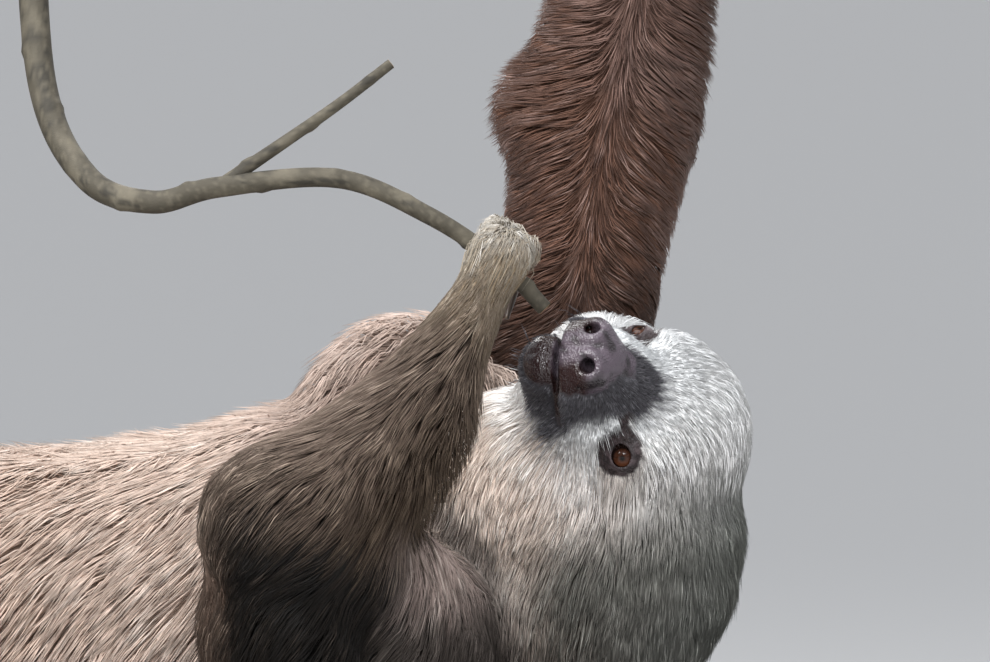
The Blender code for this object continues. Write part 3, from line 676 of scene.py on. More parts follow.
def stored(tree, name):
    """The node that reads what was painted on the mesh under the given name."""
    node = tree.nodes.new("ShaderNodeAttribute")
    node.attribute_name = name
    return node


def painted(name, roughness, specular=0.5):
    """A material with the colours painted on its mesh."""
    made, tree, shader = material(name, roughness, specular)
    tree.links.new(stored(tree, "coat").outputs["Color"], shader.inputs["Base Color"])
    return made


def pattern(tree, kind, scale, detail=None, stretch=None):
    """A texture node that is fixed to the object, drawn out by the given stretch."""
    where = tree.nodes.new("ShaderNodeTexCoord").outputs["Object"]
    if stretch:
        turned = tree.nodes.new("ShaderNodeMapping")
        turned.inputs["Scale"].default_value = stretch
        tree.links.new(where, turned.inputs["Vector"])
        where = turned.outputs["Vector"]
    node = tree.nodes.new(kind)
    node.inputs["Scale"].default_value = scale
    if detail:
        node.inputs["Detail"].default_value = detail
    tree.links.new(where, node.inputs["Vector"])
    return node


def relief(tree, height, strength, depth):
    """Bump of the given depth, from a node's output to the shader."""
    bump = tree.nodes.new("ShaderNodeBump")
    bump.inputs["Strength"].default_value = strength
    bump.inputs["Distance"].default_value = depth
    tree.links.new(height, bump.inputs["Height"])
    tree.links.new(bump.outputs["Normal"], tree.nodes["Principled BSDF"].inputs["Normal"])


def skin_material():
    """Leathery skin: pebbled and wet on the nose, dull under the coat."""
    made = painted("skin", DRY_ROUGHNESS)
    tree = made.node_tree
    rough = tree.nodes.new("ShaderNodeMapRange")
    rough.inputs["To Min"].default_value = DRY_ROUGHNESS
    rough.inputs["To Max"].default_value = WET_ROUGHNESS
    tree.links.new(stored(tree, "wet").outputs["Fac"], rough.inputs["Value"])
    tree.links.new(rough.outputs["Result"], tree.nodes["Principled BSDF"].inputs["Roughness"])
    pebbles = pattern(tree, "ShaderNodeTexVoronoi", scale=1100)
    relief(tree, pebbles.outputs["Distance"], strength=0.6, depth=0.0005)
    return made


def bark_material():
    """Grey-brown bark, finely cracked; a cut end is bare wood."""
    made = painted("bark", roughness=0.8)
    grain = pattern(made.node_tree, "ShaderNodeTexNoise", scale=520, detail=5)
    relief(made.node_tree, grain.outputs["Fac"], strength=0.5, depth=0.0006)
    return made


def worked(name, tones, roughness, scale, stretch, depth, metallic=0.0):
    """A made surface whose colour and relief follow one noise, drawn out by the given stretch."""
    made, tree, shader = material(name, roughness, metallic=metallic)
    noise = pattern(tree, "ShaderNodeTexNoise", scale, detail=4, stretch=stretch)
    ramp = tree.nodes.new("ShaderNodeValToRGB")
    for element, place, tone in zip(ramp.color_ramp.elements, (0.3, 0.7), tones):
        element.position = place
        element.color = (*linear(*tone), 1)
    tree.links.new(noise.outputs["Fac"], ramp.inputs["Fac"])
    tree.links.new(ramp.outputs["Color"], shader.inputs["Base Color"])
    relief(tree, noise.outputs["Fac"], strength=0.5, depth=depth)
    return made


# ---------------------------------------------------------------- stage

# Soft round lights: place, width, power in watts and colour. All are turned to the chest.
LIGHTS = {
    "overhead": ((-0.5, -0.5, 2.4), 2.0, 62, (0.98, 0.99, 1.0)),
    "key": ((-1.5, -1.6, 1.6), 0.9, 46, (1.0, 0.99, 0.97)),
    "fill": ((0.2, -2.5, 1.15), 0.8, 38, (0.97, 0.98, 1.0)),
    "back": ((0.2, 1.8, 1.3), 1.2, 17, (1.0, 0.99, 0.97)),
}
CHEST = Vector((0.10, 0.0, 0.28))
SKYLIGHT = (0.93, 0.95, 1.0, 1)
SKYLIGHT_POWER = 1.08
CAMERA_PLACE = (0.1434, -2.59, 0.3106)      # level, at the height of the head
CAMERA_LENS = 222.5
FLOOR_REACH = 6.0               # flat to here, then a cove that rises to the horizon
COVE_RADIUS = 30.0


def placed(name, data, place):
    obj = bpy.data.objects.new(name, data)
    bpy.context.scene.collection.objects.link(obj)
    obj.location = place
    return obj


def stage():
    """Pale floor, soft light from the upper left and in front, and the camera."""
    turns = np.linspace(0, math.radians(60), 60)
    rows = [(FLOOR_REACH + COVE_RADIUS * math.sin(turn), COVE_RADIUS * (1 - math.cos(turn)))
            for turn in turns]
    around = 96
    corners = [(reach * math.cos(angle), reach * math.sin(angle), height)
               for reach, height in rows for angle in round_angles(around)]
    cove = mesh_of("floor", corners, bands(len(rows), around), [np.arange(around)])
    cove.materials.append(plain("floor_paint", (182, 182, 181), roughness=0.9))
    floor = placed("floor", cove, (0, 0, 0))

    world = bpy.data.worlds.new("studio")
    bpy.context.scene.world = world
    world.use_nodes = True
    world.node_tree.nodes["Background"].inputs["Color"].default_value = SKYLIGHT
    world.node_tree.nodes["Background"].inputs["Strength"].default_value = SKYLIGHT_POWER
    bpy.context.scene.view_settings.view_transform = "Standard"
    for name, (place, size, power, colour) in LIGHTS.items():
        lamp = bpy.data.lights.new(name, "AREA")
        lamp.shape = "DISK"
        lamp.size = size
        lamp.energy = power
        lamp.color = colour
        aim = (CHEST - Vector(place)).to_track_quat("-Z", "Y")
        placed(name, lamp, place).rotation_euler = aim.to_euler()

    camera = bpy.data.cameras.new("camera")
    camera.sensor_width = 36.0
    camera.lens = CAMERA_LENS
    view = placed("camera", camera, CAMERA_PLACE)
    view.rotation_euler = (math.pi / 2, 0, 0)
    bpy.context.scene.camera = view


# ---------------------------------------------------------------- regions of the coat

# Each coat: its colours as a screen shows them, deep in the hair, darker there as painted shade,
# over most of it and at its palest; length, width and bends of its tufts; their count for each
# square metre; how strongly they gather in locks, how much their tips pale, how much they differ.
Coat = namedtuple("Coat", "deep main pale length width bends density gathering paling contrast")
COATS = {
    "head": ((226, 226, 224), (247, 249, 250), (254, 255, 255), 0.022, 0.00034, 2, 2000e3,
             0.22, 0.3, 0.5),
    "throat": ((208, 184, 168), (248, 232, 219), (253, 246, 238), 0.030, 0.00042, 3, 480e3,
               0.26, 0.3, 0.6),
    "neck": ((74, 58, 46), (138, 116, 98), (190, 168, 150), 0.036, 0.00052, 3, 300e3,
             0.35, 0.3, 0.8),
    "near_hand": ((78, 60, 42), (156, 137, 110), (226, 216, 200), 0.015, 0.00036, 2, 3800e3,
                  0.30, 0.75, 1.0),
    "near_forearm": ((34, 25, 18), (82, 66, 54), (178, 156, 134), 0.036, 0.00042, 3, 760e3,
                     0.36, 0.45, 1.0),
    "near_upper": ((16, 13, 11), (40, 34, 29), (86, 74, 64), 0.044, 0.00054, 3, 330e3,
                   0.38, 0.3, 0.9),
    "far_arm": ((80, 53, 41), (124, 90, 74), (170, 142, 132), 0.032, 0.00052, 2, 430e3,
                0.42, 0.5, 0.8),
    "far_hand": ((70, 50, 38), (132, 108, 88), (180, 160, 136), 0.015, 0.00055, 2, 560e3,
                 0.36, 0.5, 0.9),
    "breast": ((210, 186, 170), (226, 203, 188), (240, 225, 214), 0.040, 0.00072, 2, 250e3,
               0.26, 0.3, 0.4),
    "loin": ((200, 174, 157), (214, 187, 169), (234, 215, 201), 0.044, 0.00100, 2, 104e3,
             0.28, 0.3, 0.5),
    "near_leg": ((44, 33, 25), (96, 76, 60), (162, 138, 112), 0.036, 0.00095, 2, 116e3,
                 0.40, 0.3, 0.9),
    "far_leg": ((44, 33, 25), (96, 76, 60), (162, 138, 112), 0.036, 0.00100, 2, 100e3,
                0.40, 0.3, 0.9),
    "feet": ((84, 66, 50), (152, 130, 104), (196, 178, 152), 0.015, 0.00065, 2, 340e3,
             0.36, 0.4, 0.9),
}
COATS = {name: Coat(*looks) for name, looks in COATS.items()}


def all_bones():
    """The bones that the coats belong to: coat, ends, radii of the skin. The head's comes first."""
    bones = [("head", on_head(-50, 0, -2), on_head(18, 0, -14), (0.040, 0.020))]
    for line, coats in ((NECK, ("neck", "neck")), (THROAT, ("throat",)),
                        (TRUNK, ("breast", "breast", "breast", "loin", "loin", "loin"))):
        for coat, (start, end, radii) in zip(coats, chain(line)):
            bones.append((coat, Vector(start), Vector(end), radii))
    for coat, *limb in LIMBS:
        bones += [(coat, *stretch) for stretch in chain(limb_line(*limb))]
    return bones


BONES = all_bones()
BONE_BLEND = 0.006      # how gradually one bone's coat passes into the next
BELOW_HAND = 0.323      # all of the face is lower than the near hand
NEAR_SIDE = np.array((0.0, -1.0, 0.0))     # the side of the body that the face is on
DOWN = np.array((0.0, 0.0, -1.0))
RUMPWARD = np.array((-1.0, 0.0, 0.0))
NOSE_TIP = (44.0, 0.0, -12.0)


def bone_shares(points):
    """How much of each point belongs to each bone, one row for each point."""
    gaps = np.stack([cone(points, start, end, radii) for _, start, end, radii in BONES], 1)
    gaps -= gaps.min(1, keepdims=True)
    shares = np.exp(-gaps / BONE_BLEND)
    return shares / shares.sum(1, keepdims=True)


def lie_on_bone(coat, start, end, points):
    """Direction of the hair round one bone, before it is laid along the skin."""
    axis = unit(np.array(end - start))
    rel = points - np.array(start)
    radial = rel - (rel @ axis)[:, None] * axis
    round_axis = unit(radial)
    if coat == "head":
        places = head_places(points)
        away = places - np.array(NOSE_TIP)
        reach = np.linalg.norm(away, axis=1)
        fall = 0.85 * smoothstep(42, 105, reach)
        back = unit(away) @ HEAD_AXES
        return back * (1 - fall)[:, None] + DOWN * fall[:, None]
    if coat == "throat":
        return DOWN + 0.45 * RUMPWARD + 0.1 * round_axis
    if coat == "neck":
        return DOWN + 0.1 * round_axis
    if coat in ("breast", "loin"):
        top = np.array((0.0, 0.0, 1.0))
        parted = -(top - (round_axis @ top)[:, None] * round_axis)
        trail = 0.75 * smoothstep(0.12, 0.03, points[:, 0])
        return unit(parted) * 0.8 + DOWN * 0.25 + RUMPWARD * trail[:, None]
    if coat == "far_arm":
        front = unit(NEAR_SIDE - (NEAR_SIDE @ axis) * axis)
        facing = round_axis @ front
        parted = unit(-(front - facing[:, None] * round_axis))
        beside = np.sqrt(np.maximum(1 - facing ** 2, 0))
        spread = 1.1 * smoothstep(-0.9, 0.2, facing) * smoothstep(0.02, 0.30, beside)
        return axis * 0.62 + parted * spread[:, None]
    if coat == "near_forearm":
        across = unit(np.cross(axis, NEAR_SIDE))
        share = rel @ axis / (end - start).length
        sweep = 0.12 + 0.55 * smoothstep(0.45, 0.1, share) * (start == JOINTS["left_wrist"])
        return axis + 9.0 * (rel @ across)[:, None] * across + RUMPWARD * sweep[:, None]
    if coat == "near_upper":
        hang = smoothstep(0.104, 0.120, points[:, 0])[:, None]
        back = np.array((-0.75, -0.15, -0.62)) + 0.3 * round_axis
        return back * (1 - hang) + (DOWN + 0.15 * RUMPWARD) * hang
    return axis + 0.15 * DOWN


def lie_of_coat(points, shares):
    total = np.zeros_like(points)
    for number, (coat, start, end, _) in enumerate(BONES):
        total += shares[:, number:number + 1] * unit(lie_on_bone(coat, start, end, points))
    return unit(total)


# ---------------------------------------------------------------- markings of the face

def face_masks(points):
    """How far each point belongs to the bare nose and lips, the dark muzzle, and the eye field."""
    places = head_places(points)
    f, l, u = places.T
    ragged = 1.8 * wander(places, 3.2, 3) + 1.2 * wander(places, 9.0, 4)
    on_face = smoothstep(28, 24, cone(places, (-40, 0, -4), (22, 0, -16), (18, 8)))
    on_face = on_face * (points[:, 2] < BELOW_HAND)
    edge = 8 + smoothstep(12.5, 18, np.abs(l)) * (9.5 - 12 * smoothstep(-12, -28, u))
    edge = edge - 8 * smoothstep(-28, -38, u) + 34 * smoothstep(-40.5, -45, u)
    edge = edge + 34 * smoothstep(-5.5, -9, l) * smoothstep(-15, -6, u)
    dark = smoothstep(-3.2, 3.2, f - edge + ragged) * on_face
    for side in (-1, 1):
        corner = cone(places, (12, side * 17, -27), (0, side * 17.5, -31), (5.0, 5.5))
        dark = np.maximum(dark, smoothstep(2.5, -1.5, corner + ragged) * on_face)
    rim = 33 - 7 * smoothstep(-3, 4, u) * smoothstep(10, 3, np.abs(l))
    rim = rim - 5 * smoothstep(-24, -29, u)
    bare = smoothstep(-1.6, 1.6, f - rim + 0.5 * ragged) * on_face
    bare = np.maximum(bare, smoothstep(2.8, 1.6, np.abs(u - mouth_height(f, l)))
                      * smoothstep(6, 12, f) * on_face)
    eye = np.zeros(len(points))
    for side in (-1, 1):
        x, y, depth = eye_places(places, side)
        patch = np.hypot((x + side * 2.6) * 0.80, y + 1.6) + 0.35 * ragged
        patch = smoothstep(10.8, 8.8, patch) * (depth > -8)
        centre = np.array(EYE_PLACE) * (1, side, 1)
        tear = cone(places, centre + (5, -side * 1, -1.5), centre + (18.5, -side * 9.6, 1.5),
                    (3.8, 2.6))
        eye = np.maximum(eye, np.maximum(patch, smoothstep(1.5, -1.0, tear) * on_face))
    return places, bare, dark, eye


def share_of(shares, *coats):
    """How much of each point belongs to the named coats."""
    return sum(shares[:, number] for number, bone in enumerate(BONES) if bone[0] in coats)


def between(low, high, share):
    """The colour from low to high, in the shader's light."""
    return mix(linear(*low), linear(*high), share)


def markings(points, shares, places, dark, eye):
    """What is laid over the coats' own colours, markings and painted light and shade, in order:
    how far each point belongs to it, and its deep, main and palest colour. None leaves a colour
    as it is."""
    x, _, z = points.T
    f, l, u = places.T
    head = shares[:, 0]
    crown = head * smoothstep(-38, -86, f - 0.30 * u - 0.15 * l + 5 * wander(places, 30, 8))
    streak = smoothstep(0.1, 0.9, wander(places * (0.25, 1, 1), 11, 5)) * head
    crown = np.clip(crown + 0.22 * streak * smoothstep(-14, -44, f), 0, 1)
    # darker underside of head and throat: partly darker hair, partly painted shade
    underside_dark_fur_and_shade = smoothstep(0.247, 0.205, z - 0.5 * (x - 0.17)) * smoothstep(0.145, 0.180, x)
    underside_dark_fur_and_shade = underside_dark_fur_and_shade * (share_of(shares, "head", "throat") + 0.5 * share_of(shares, "neck"))
    # the top of the breast is painted darker: painted shade
    chest = smoothstep(0.225, 0.262, z) * smoothstep(0.03, 0.07, x)
    chest = chest * (1 - head) * share_of(shares, "breast")
    hand = share_of(shares, "near_hand")
    wrist = hand * smoothstep(0.345, 0.327, z)
    knuckles = hand * smoothstep(0.343, 0.354, z)
    forearm = 0.8 * share_of(shares, "near_forearm")
    # the near forearm's upper side, painted paler and greyer as lit: painted light
    upper = smoothstep(-0.026, 0.006, 0.641 * (z - 0.327) - 0.767 * (x - 0.1385))
    arm = share_of(shares, "near_forearm", "near_upper")
    # painted shade in the bend of the near arm
    fold = smoothstep(0.007, -0.007, z - 0.2435 + 0.32 * (x - 0.066))
    fold = fold * smoothstep(0.034, 0.056, x) * arm
    # the outer edge of the near upper arm is paler: reddish-brown fur and painted light
    outer = arm * smoothstep(0.054, 0.026, x) * smoothstep(0.256, 0.236, z)
    shoulder = smoothstep(0.099, 0.112, x) * smoothstep(0.250, 0.238, z) * arm
    high = smoothstep(0.205, 0.228, z)
    # painted shade, and darker neck fur, between the near shoulder and the throat
    hollow_dark_fur_and_shade = smoothstep(0.384, 0.372, z + x) * smoothstep(0.164, 0.142, x)
    hollow_dark_fur_and_shade = 0.85 * hollow_dark_fur_and_shade * share_of(shares, "head", "throat", "neck")
    # painted light high on the far arm: paler and greyer there
    far_arm_top_light = share_of(shares, "far_arm") * smoothstep(0.395, 0.43, z)
    far_arm_top_light = far_arm_top_light * smoothstep(0.226, 0.210, x) * smoothstep(0.188, 0.200, x)
    return (
        # the grey crown, and the darker underside of head and throat, partly painted shade
        (crown, (74, 72, 66), (136, 136, 127), (190, 190, 180)),
        (underside_dark_fur_and_shade, (50, 51, 47), (98, 101, 94), (150, 152, 144)),
        # painted shade over the top of the breast
        (0.7 * chest, (146, 126, 115), (186, 164, 152), None),
        (chest, None, None, (222, 203, 192)),
        (dark, (44, 40, 42), (96, 94, 99), (158, 156, 162)),
        (eye, (40, 32, 32), (70, 58, 57), (104, 92, 90)),
        # the hand is palest at the knuckles and browner toward the wrist
        (0.8 * wrist, None, (78, 65, 50), None),
        (wrist, None, None, (146, 132, 111)),
        (knuckles, (134, 122, 104), (176, 167, 152), (238, 235, 230)),
        # painted light and shade: the near forearm is greyer and paler along its upper side
        (forearm, None, between((54, 42, 32), (116, 99, 88), upper),
         between((108, 92, 76), (186, 168, 154), upper)),
        # the hair in the bend of the near arm is almost black, as painted shade;
        # over the shoulder it is tan
        (fold, (8, 7, 6), (24, 21, 19), (58, 50, 44)),
        # the outer edge of the near upper arm: reddish-brown fur and painted light
        (0.8 * outer, None, (92, 72, 61), (140, 119, 106)),
        (shoulder, between((44, 39, 36), (124, 106, 98), high),
         between((82, 74, 69), (188, 167, 158), high),
         between((132, 122, 115), (226, 208, 198), high)),
        # painted shade, and darker fur, between the near shoulder and the throat;
        # and painted light high on the far arm
        (hollow_dark_fur_and_shade, (52, 46, 42), (98, 89, 84), (150, 140, 133)),
        (0.7 * far_arm_top_light, None, (146, 119, 110), None),
    )


def coat_colours(points, shares):
    """The deep, main and palest colour of the coat at each point, in the shader's light, and how
    far the point belongs to the bare skin, the dark muzzle and the eye field."""
    tones = [sum(shares[:, number:number + 1] * linear(*COATS[bone[0]][tone])
                 for number, bone in enumerate(BONES)) for tone in range(3)]
    places, bare, dark, eye = face_masks(points)
    for share, *colours in markings(points, shares, places, dark, eye):
        for tone, colour in enumerate(colours):
            if isinstance(colour, tuple):
                colour = linear(*colour)
            if colour is not None:
                tones[tone] = mix(tones[tone], colour, share)
    # the far arm is painted darker behind and at the shoulder: painted shade
    behind = np.maximum(smoothstep(0.214, 0.232, points[:, 0]),
                        smoothstep(0.365, 0.325, points[:, 2]))
    dim = 1 - 0.42 * share_of(shares, "far_arm") * behind
    # only the head and throat are as pale as the light allows
    pale_fur = share_of(shares, "head", "throat") * (1 - np.maximum(dark, eye))
    shade = 1 - 0.20 * (1 - pale_fur)
    deep, main, pale = (tone * dim[:, None] * shade[:, None] for tone in tones)
    main = main * (1 + 0.08 * wander(points, 0.05, 21))[:, None]
    return deep, main, pale, bare, dark, eye


# ---------------------------------------------------------------- tufts

FAR_DENSITY = 0.45      # tufts on the far side, for each one on the near side
ROOT_DEPTH = 0.0008     # tufts start this far under the skin
LEAST_COVER = 0.0022    # they rise at least this far over it
LONG_SHARE = 0.06       # of the tufts stand out past the others
FOREARM_RISE = 0.44     # how much more the near forearm's coat rises toward the head
STRAY = 0.055           # how far the tufts turn from the lie of the coat
LOOSENESS = 6           # how much farther they turn where the coat parts
LOCK_SIZE = 13          # tufts that gather in one lock, about


def scatter(mesh, draw):
    """Roots spread over the skin, and the directions out of it there."""
    points, corners = mesh_arrays(mesh)
    points = points.astype(float)
    normals = np.empty(len(points) * 3, np.float32)
    mesh.vertex_normals.foreach_get("vector", normals)
    normals = normals.reshape(-1, 3).astype(float)
    middle = points[corners].mean(1)
    cross = np.cross(points[corners[:, 1]] - points[corners[:, 0]],
                     points[corners[:, 2]] - points[corners[:, 0]])
    area = np.linalg.norm(cross, axis=1) / 2
    shares = bone_shares(middle)
    density = sum(shares[:, number] * COATS[bone[0]].density
                  for number, bone in enumerate(BONES))
    facing = unit(cross) @ NEAR_SIDE
    density = density * (FAR_DENSITY + (1 - FAR_DENSITY) * smoothstep(-0.45, 0.05, facing))
    places, bare, dark, eye = face_masks(middle)
    density = density * (1 + 0.9 * dark) * (1 - smoothstep(0.25, 0.6, bare))
    density = density * (1 - 0.5 * smoothstep(0.3, 0.9, eye))
    for side in (-1, 1):
        x, y, depth = eye_places(places, side)
        density *= 1 - smoothstep(7.6, 6.4, np.hypot(x, y)) * (depth > -6)
    expected = area * density
    count = int(expected.sum() * (1.0))
    picked = np.searchsorted(np.cumsum(expected), draw.random(count) * expected.sum())
    a, b = draw.random((2, count))
    a, b = np.where(a + b > 1, 1 - a, a), np.where(a + b > 1, 1 - b, b)
    weights = np.stack([1 - a - b, a, b], 1)[..., None]
    roots = (points[corners[picked]] * weights).sum(1)
    outs = unit((normals[corners[picked]] * weights).sum(1))
    return roots, outs


def tuft_paths(roots, outs, field, shares, lengths, bends, draw):
    """The line of each tuft: out of the skin, along the lie of the coat, up to its surface."""
    count = len(roots)
    depth = field.at(roots)
    lift = np.maximum(depth + LEAST_COVER, 0)   # where the skin reaches the coat's surface
    cover = np.maximum(-depth, LEAST_COVER)
    reach = np.clip(cover * 1.3, lengths * 0.8, lengths * 1.3)
    reach = reach * draw.uniform(0.80, 1.15, count)
    rise = draw.uniform(0.80, 1.00, count)
    rise = rise + np.where(draw.random(count) < LONG_SHARE, draw.uniform(0.04, 0.26, count), 0)
    # the near forearm's coat is fullest along its edge toward the head
    full = share_of(shares, "near_forearm") * smoothstep(0.0, 0.6, outs[:, 0])
    full *= smoothstep(0.245, 0.268, roots[:, 2]) * smoothstep(0.338, 0.318, roots[:, 2])
    rise = rise + FOREARM_RISE * full
    stray = draw.normal(0, STRAY, (count, 3))
    # the hair crosses itself along the belly's parting, over the rump and on the knuckles
    upward = smoothstep(0.80, 0.96, outs[:, 2])
    loose = np.maximum(upward, smoothstep(-0.80, -0.93, outs[:, 0]))
    loose = loose * share_of(shares, "breast", "loin") + upward * share_of(shares, "near_hand")
    stray *= 1 + LOOSENESS * loose[:, None]
    place = roots - outs * ROOT_DEPTH
    path = [place]
    for bend in range(bends):
        out = field.outward(place)
        if bend == 0:
            out = unit(out + outs)
        lie = lie_of_coat(place, shares) + stray
        for number in range(3):
            lie[:, number] += (0.14 * wander(place, 0.045, 40 + number)
                               + 0.07 * wander(place, 0.014, 50 + number))
        along = lie - (lie * out).sum(1, keepdims=True) * out
        size = np.linalg.norm(along, axis=1, keepdims=True)
        along = unit(along + RUMPWARD * np.clip(0.3 - size, 0, 1))
        share = (bend + 1) / bends
        wanted = cover * (1 - rise * share ** 0.6)
        climb = (lift - field.at(place) - wanted) / (reach / bends)
        climb = np.clip(climb, -0.35, 0.90)[:, None]
        place = place + (along * np.sqrt(1 - climb ** 2) + out * climb) * (reach / bends)[:, None]
        buried = 0.0005 + 0.0010 * share - skin_distance(place.astype(np.float32), field)
        place = place + out * np.maximum(buried, 0)[:, None]
        path.append(place)
    return np.stack(path, 1)


def gathered(path, strength, draw):
    """The tufts drawn together toward their tips, and which lock each belongs to."""
    count = len(path)
    leaders = draw.choice(count, max(count // LOCK_SIZE, 1), replace=False)
    tree = KDTree(len(leaders))
    for number, leader in enumerate(leaders):
        tree.insert(path[leader, 1], number)
    tree.balance()
    nearest = np.array([tree.find(place)[1] for place in path[:, 1]])
    lock = path[leaders[nearest]]
    t = np.linspace(0, 1, path.shape[1])[None, :, None]
    return path + (lock - path) * strength * t ** 1.4, nearest


# Corners of a tuft's three-sided cross-section, in parts of its width: to the side, and outward.
TUFT_CORNERS = ((-0.5, -0.18), (0.5, -0.18), (0.0, 0.38))
BAKE_PATCH = 0.003      # side of each tuft's own square in the bake map
TIP_SPOT = 0.0007       # of a tuft's tip, from the middle of that square


def tuft_mesh(name, path, widths, field, colours, patches):
    """Closed three-sided tapered tufts along the paths, as one mesh with colours and bake map."""
    count, rings, _ = path.shape
    rings -= 1
    run = np.diff(path, axis=1)
    run = unit(np.concatenate([run[:, :1], run[:, 1:] + run[:, :-1], run[:, -1:]], 1))
    out = field.outward(path[:, 1])
    t = np.arange(rings) / rings
    size = widths[:, None] * np.where(t < 0.5, 0.75 + 0.5 * t, 1.5 - t)
    tip = rings * 3
    points = np.empty((count, tip + 1, 3))
    for number in range(rings):
        side = unit(np.cross(run[:, number], out))
        top = np.cross(side, run[:, number])
        for corner, (x, y) in enumerate(TUFT_CORNERS):
            points[:, number * 3 + corner] = (path[:, number]
                                              + (side * x + top * y) * size[:, number:number + 1])
    points[:, tip] = path[:, rings]
    faces = [(0, 1, 2)]
    for a in range(tip - 3):
        b = a + 1 if a % 3 < 2 else a - 2
        faces += [(b, a, b + 3), (b + 3, a, a + 3)]
    faces += [(tip - 3 + (corner + 1) % 3, tip - 3 + corner, tip) for corner in range(3)]
    triangles = (np.arange(count)[:, None, None] * (tip + 1) + np.array(faces)).reshape(-1, 3)
    mesh = mesh_of(name, points.reshape(-1, 3), triangles)
    levels = np.minimum(np.arange(tip + 1) // 3, rings)
    paint(mesh, "coat", colours[:, levels].reshape(-1, 3))

    half = BAKE_PATCH / 2
    spots = np.stack([np.tile((-half, half, 0.0), rings + 1)[:tip + 1],
                      BAKE_PATCH * levels / rings - half], 1)
    spots[tip, 0] = TIP_SPOT
    places = (patches[:, None] + spots).reshape(-1, 2)
    layer = mesh.uv_layers.new(name="OFBake")
    layer.data.foreach_set("uv", places[triangles.ravel()].astype(np.float32).ravel())
    return mesh


BAKE_LOW, BAKE_HIGH = -0.35, 1.35       # edges of the bake map, in lengths of the bone


def unwrapped(points, start, end):
    """Each root's place on the skin unrolled round its bone: round it, and along it."""
    axis = unit(np.array(end - start))
    rel = points - np.array(start)
    along = rel @ axis / (end - start).length
    side = unit(np.cross(axis, (0.31, 0.90, 0.29)))
    angle = np.arctan2(rel @ np.cross(axis, side), rel @ side) / (2 * math.pi) + 0.5
    return np.clip(np.stack([angle, (along - BAKE_LOW) / (BAKE_HIGH - BAKE_LOW)], 1), 0.002, 0.998)


MOST_TRIANGLES = 190e3  # in one piece
STUBBLE = 0.0042        # length of the shortest tufts


def tuft_sizes(coat, root, short, facing, draw):
    """Length and width of each tuft: short on the muzzle and round the eyes, broad behind."""
    looks = COATS[coat]
    lengths = np.full(len(root), looks.length)
    widths = looks.width * draw.uniform(0.7, 1.25, len(root))
    widths *= 1 + 0.8 * smoothstep(0.1, -0.5, facing)
    if coat == "head":
        lengths = 0.010 + 0.016 * smoothstep(15, -55, head_places(root)[:, 0])
    stubble = np.full((len(root), 1), STUBBLE)
    lengths = np.minimum(lengths, mix(lengths[:, None], stubble, short)[:, 0])
    return lengths, widths * (1 - 0.35 * short)


def tuft_colours(coat, deep, main, pale, lock, facing, draw):
    """Colours of each tuft from root to tip. Locks differ, and so do the tufts in them."""
    looks = COATS[coat]
    lock_tone = draw.normal(0, 1, lock.max() + 1)[lock]
    tone = 0.55 * lock_tone + 0.75 * draw.normal(0, 1, len(lock))
    light = smoothstep(0.2, 2.0, tone)
    behind = smoothstep(0.1, -0.5, facing)
    shade = smoothstep(-0.3, -2.0, tone) * 0.7 * looks.contrast * (1 - 0.6 * behind)
    body = mix(mix(main, pale, light), deep, shade)
    # each tuft is painted darker toward its root with the deep colour: painted shade deep in the
    # coat
    colours = np.stack([mix(deep, body, 0.35 + 0.65 * min(1.8 * t, 1))
                        for t in np.linspace(0, 1, looks.bends + 1)], 1)
    colours[:, -1] = mix(colours[:, -1], pale, looks.paling)
    return colours


def grow_coat(skin, field, surface):
    """All tufts, in one piece for each coat or in several where it is long."""
    draw = np.random.default_rng(SEED)
    roots, outs = scatter(skin.data, draw)
    shares = bone_shares(roots)
    owner = (shares.cumsum(1) < draw.random((len(roots), 1))).sum(1)
    owner = np.minimum(owner, len(BONES) - 1)
    names = np.array([bone[0] for bone in BONES])[owner]
    deep, main, pale, _, dark, eye = coat_colours(roots, shares)
    short = np.maximum(dark, eye)
    facing = outs @ NEAR_SIDE
    for coat, looks in COATS.items():
        mine = np.flatnonzero(names == coat)
        root, facing_near = roots[mine], facing[mine]
        lengths, widths = tuft_sizes(coat, root, short[mine], facing_near, draw)
        path = tuft_paths(root, outs[mine], field, shares[mine], lengths, looks.bends, draw)
        path, lock = gathered(path, looks.gathering, draw)
        colours = tuft_colours(coat, deep[mine], main[mine], pale[mine], lock, facing_near, draw)
        patches = np.empty((len(mine), 2))
        for number, (_, start, end, _) in enumerate(BONES):
            own = owner[mine] == number
            patches[own] = unwrapped(root[own], start, end)
        triangles = len(mine) * (looks.bends * 6 - 2)
        parts = int(np.ceil(triangles / MOST_TRIANGLES))
        order = np.argsort(patches[:, 1], kind="stable")
        for number, group in enumerate(np.array_split(order, parts), 1):
            name = f"coat_{coat}_{number}"
            mesh = tuft_mesh(name, path[group], widths[group], field, colours[group],
                             patches[group])
            new_object(name, mesh, surface)


# ---------------------------------------------------------------- skin and eyes

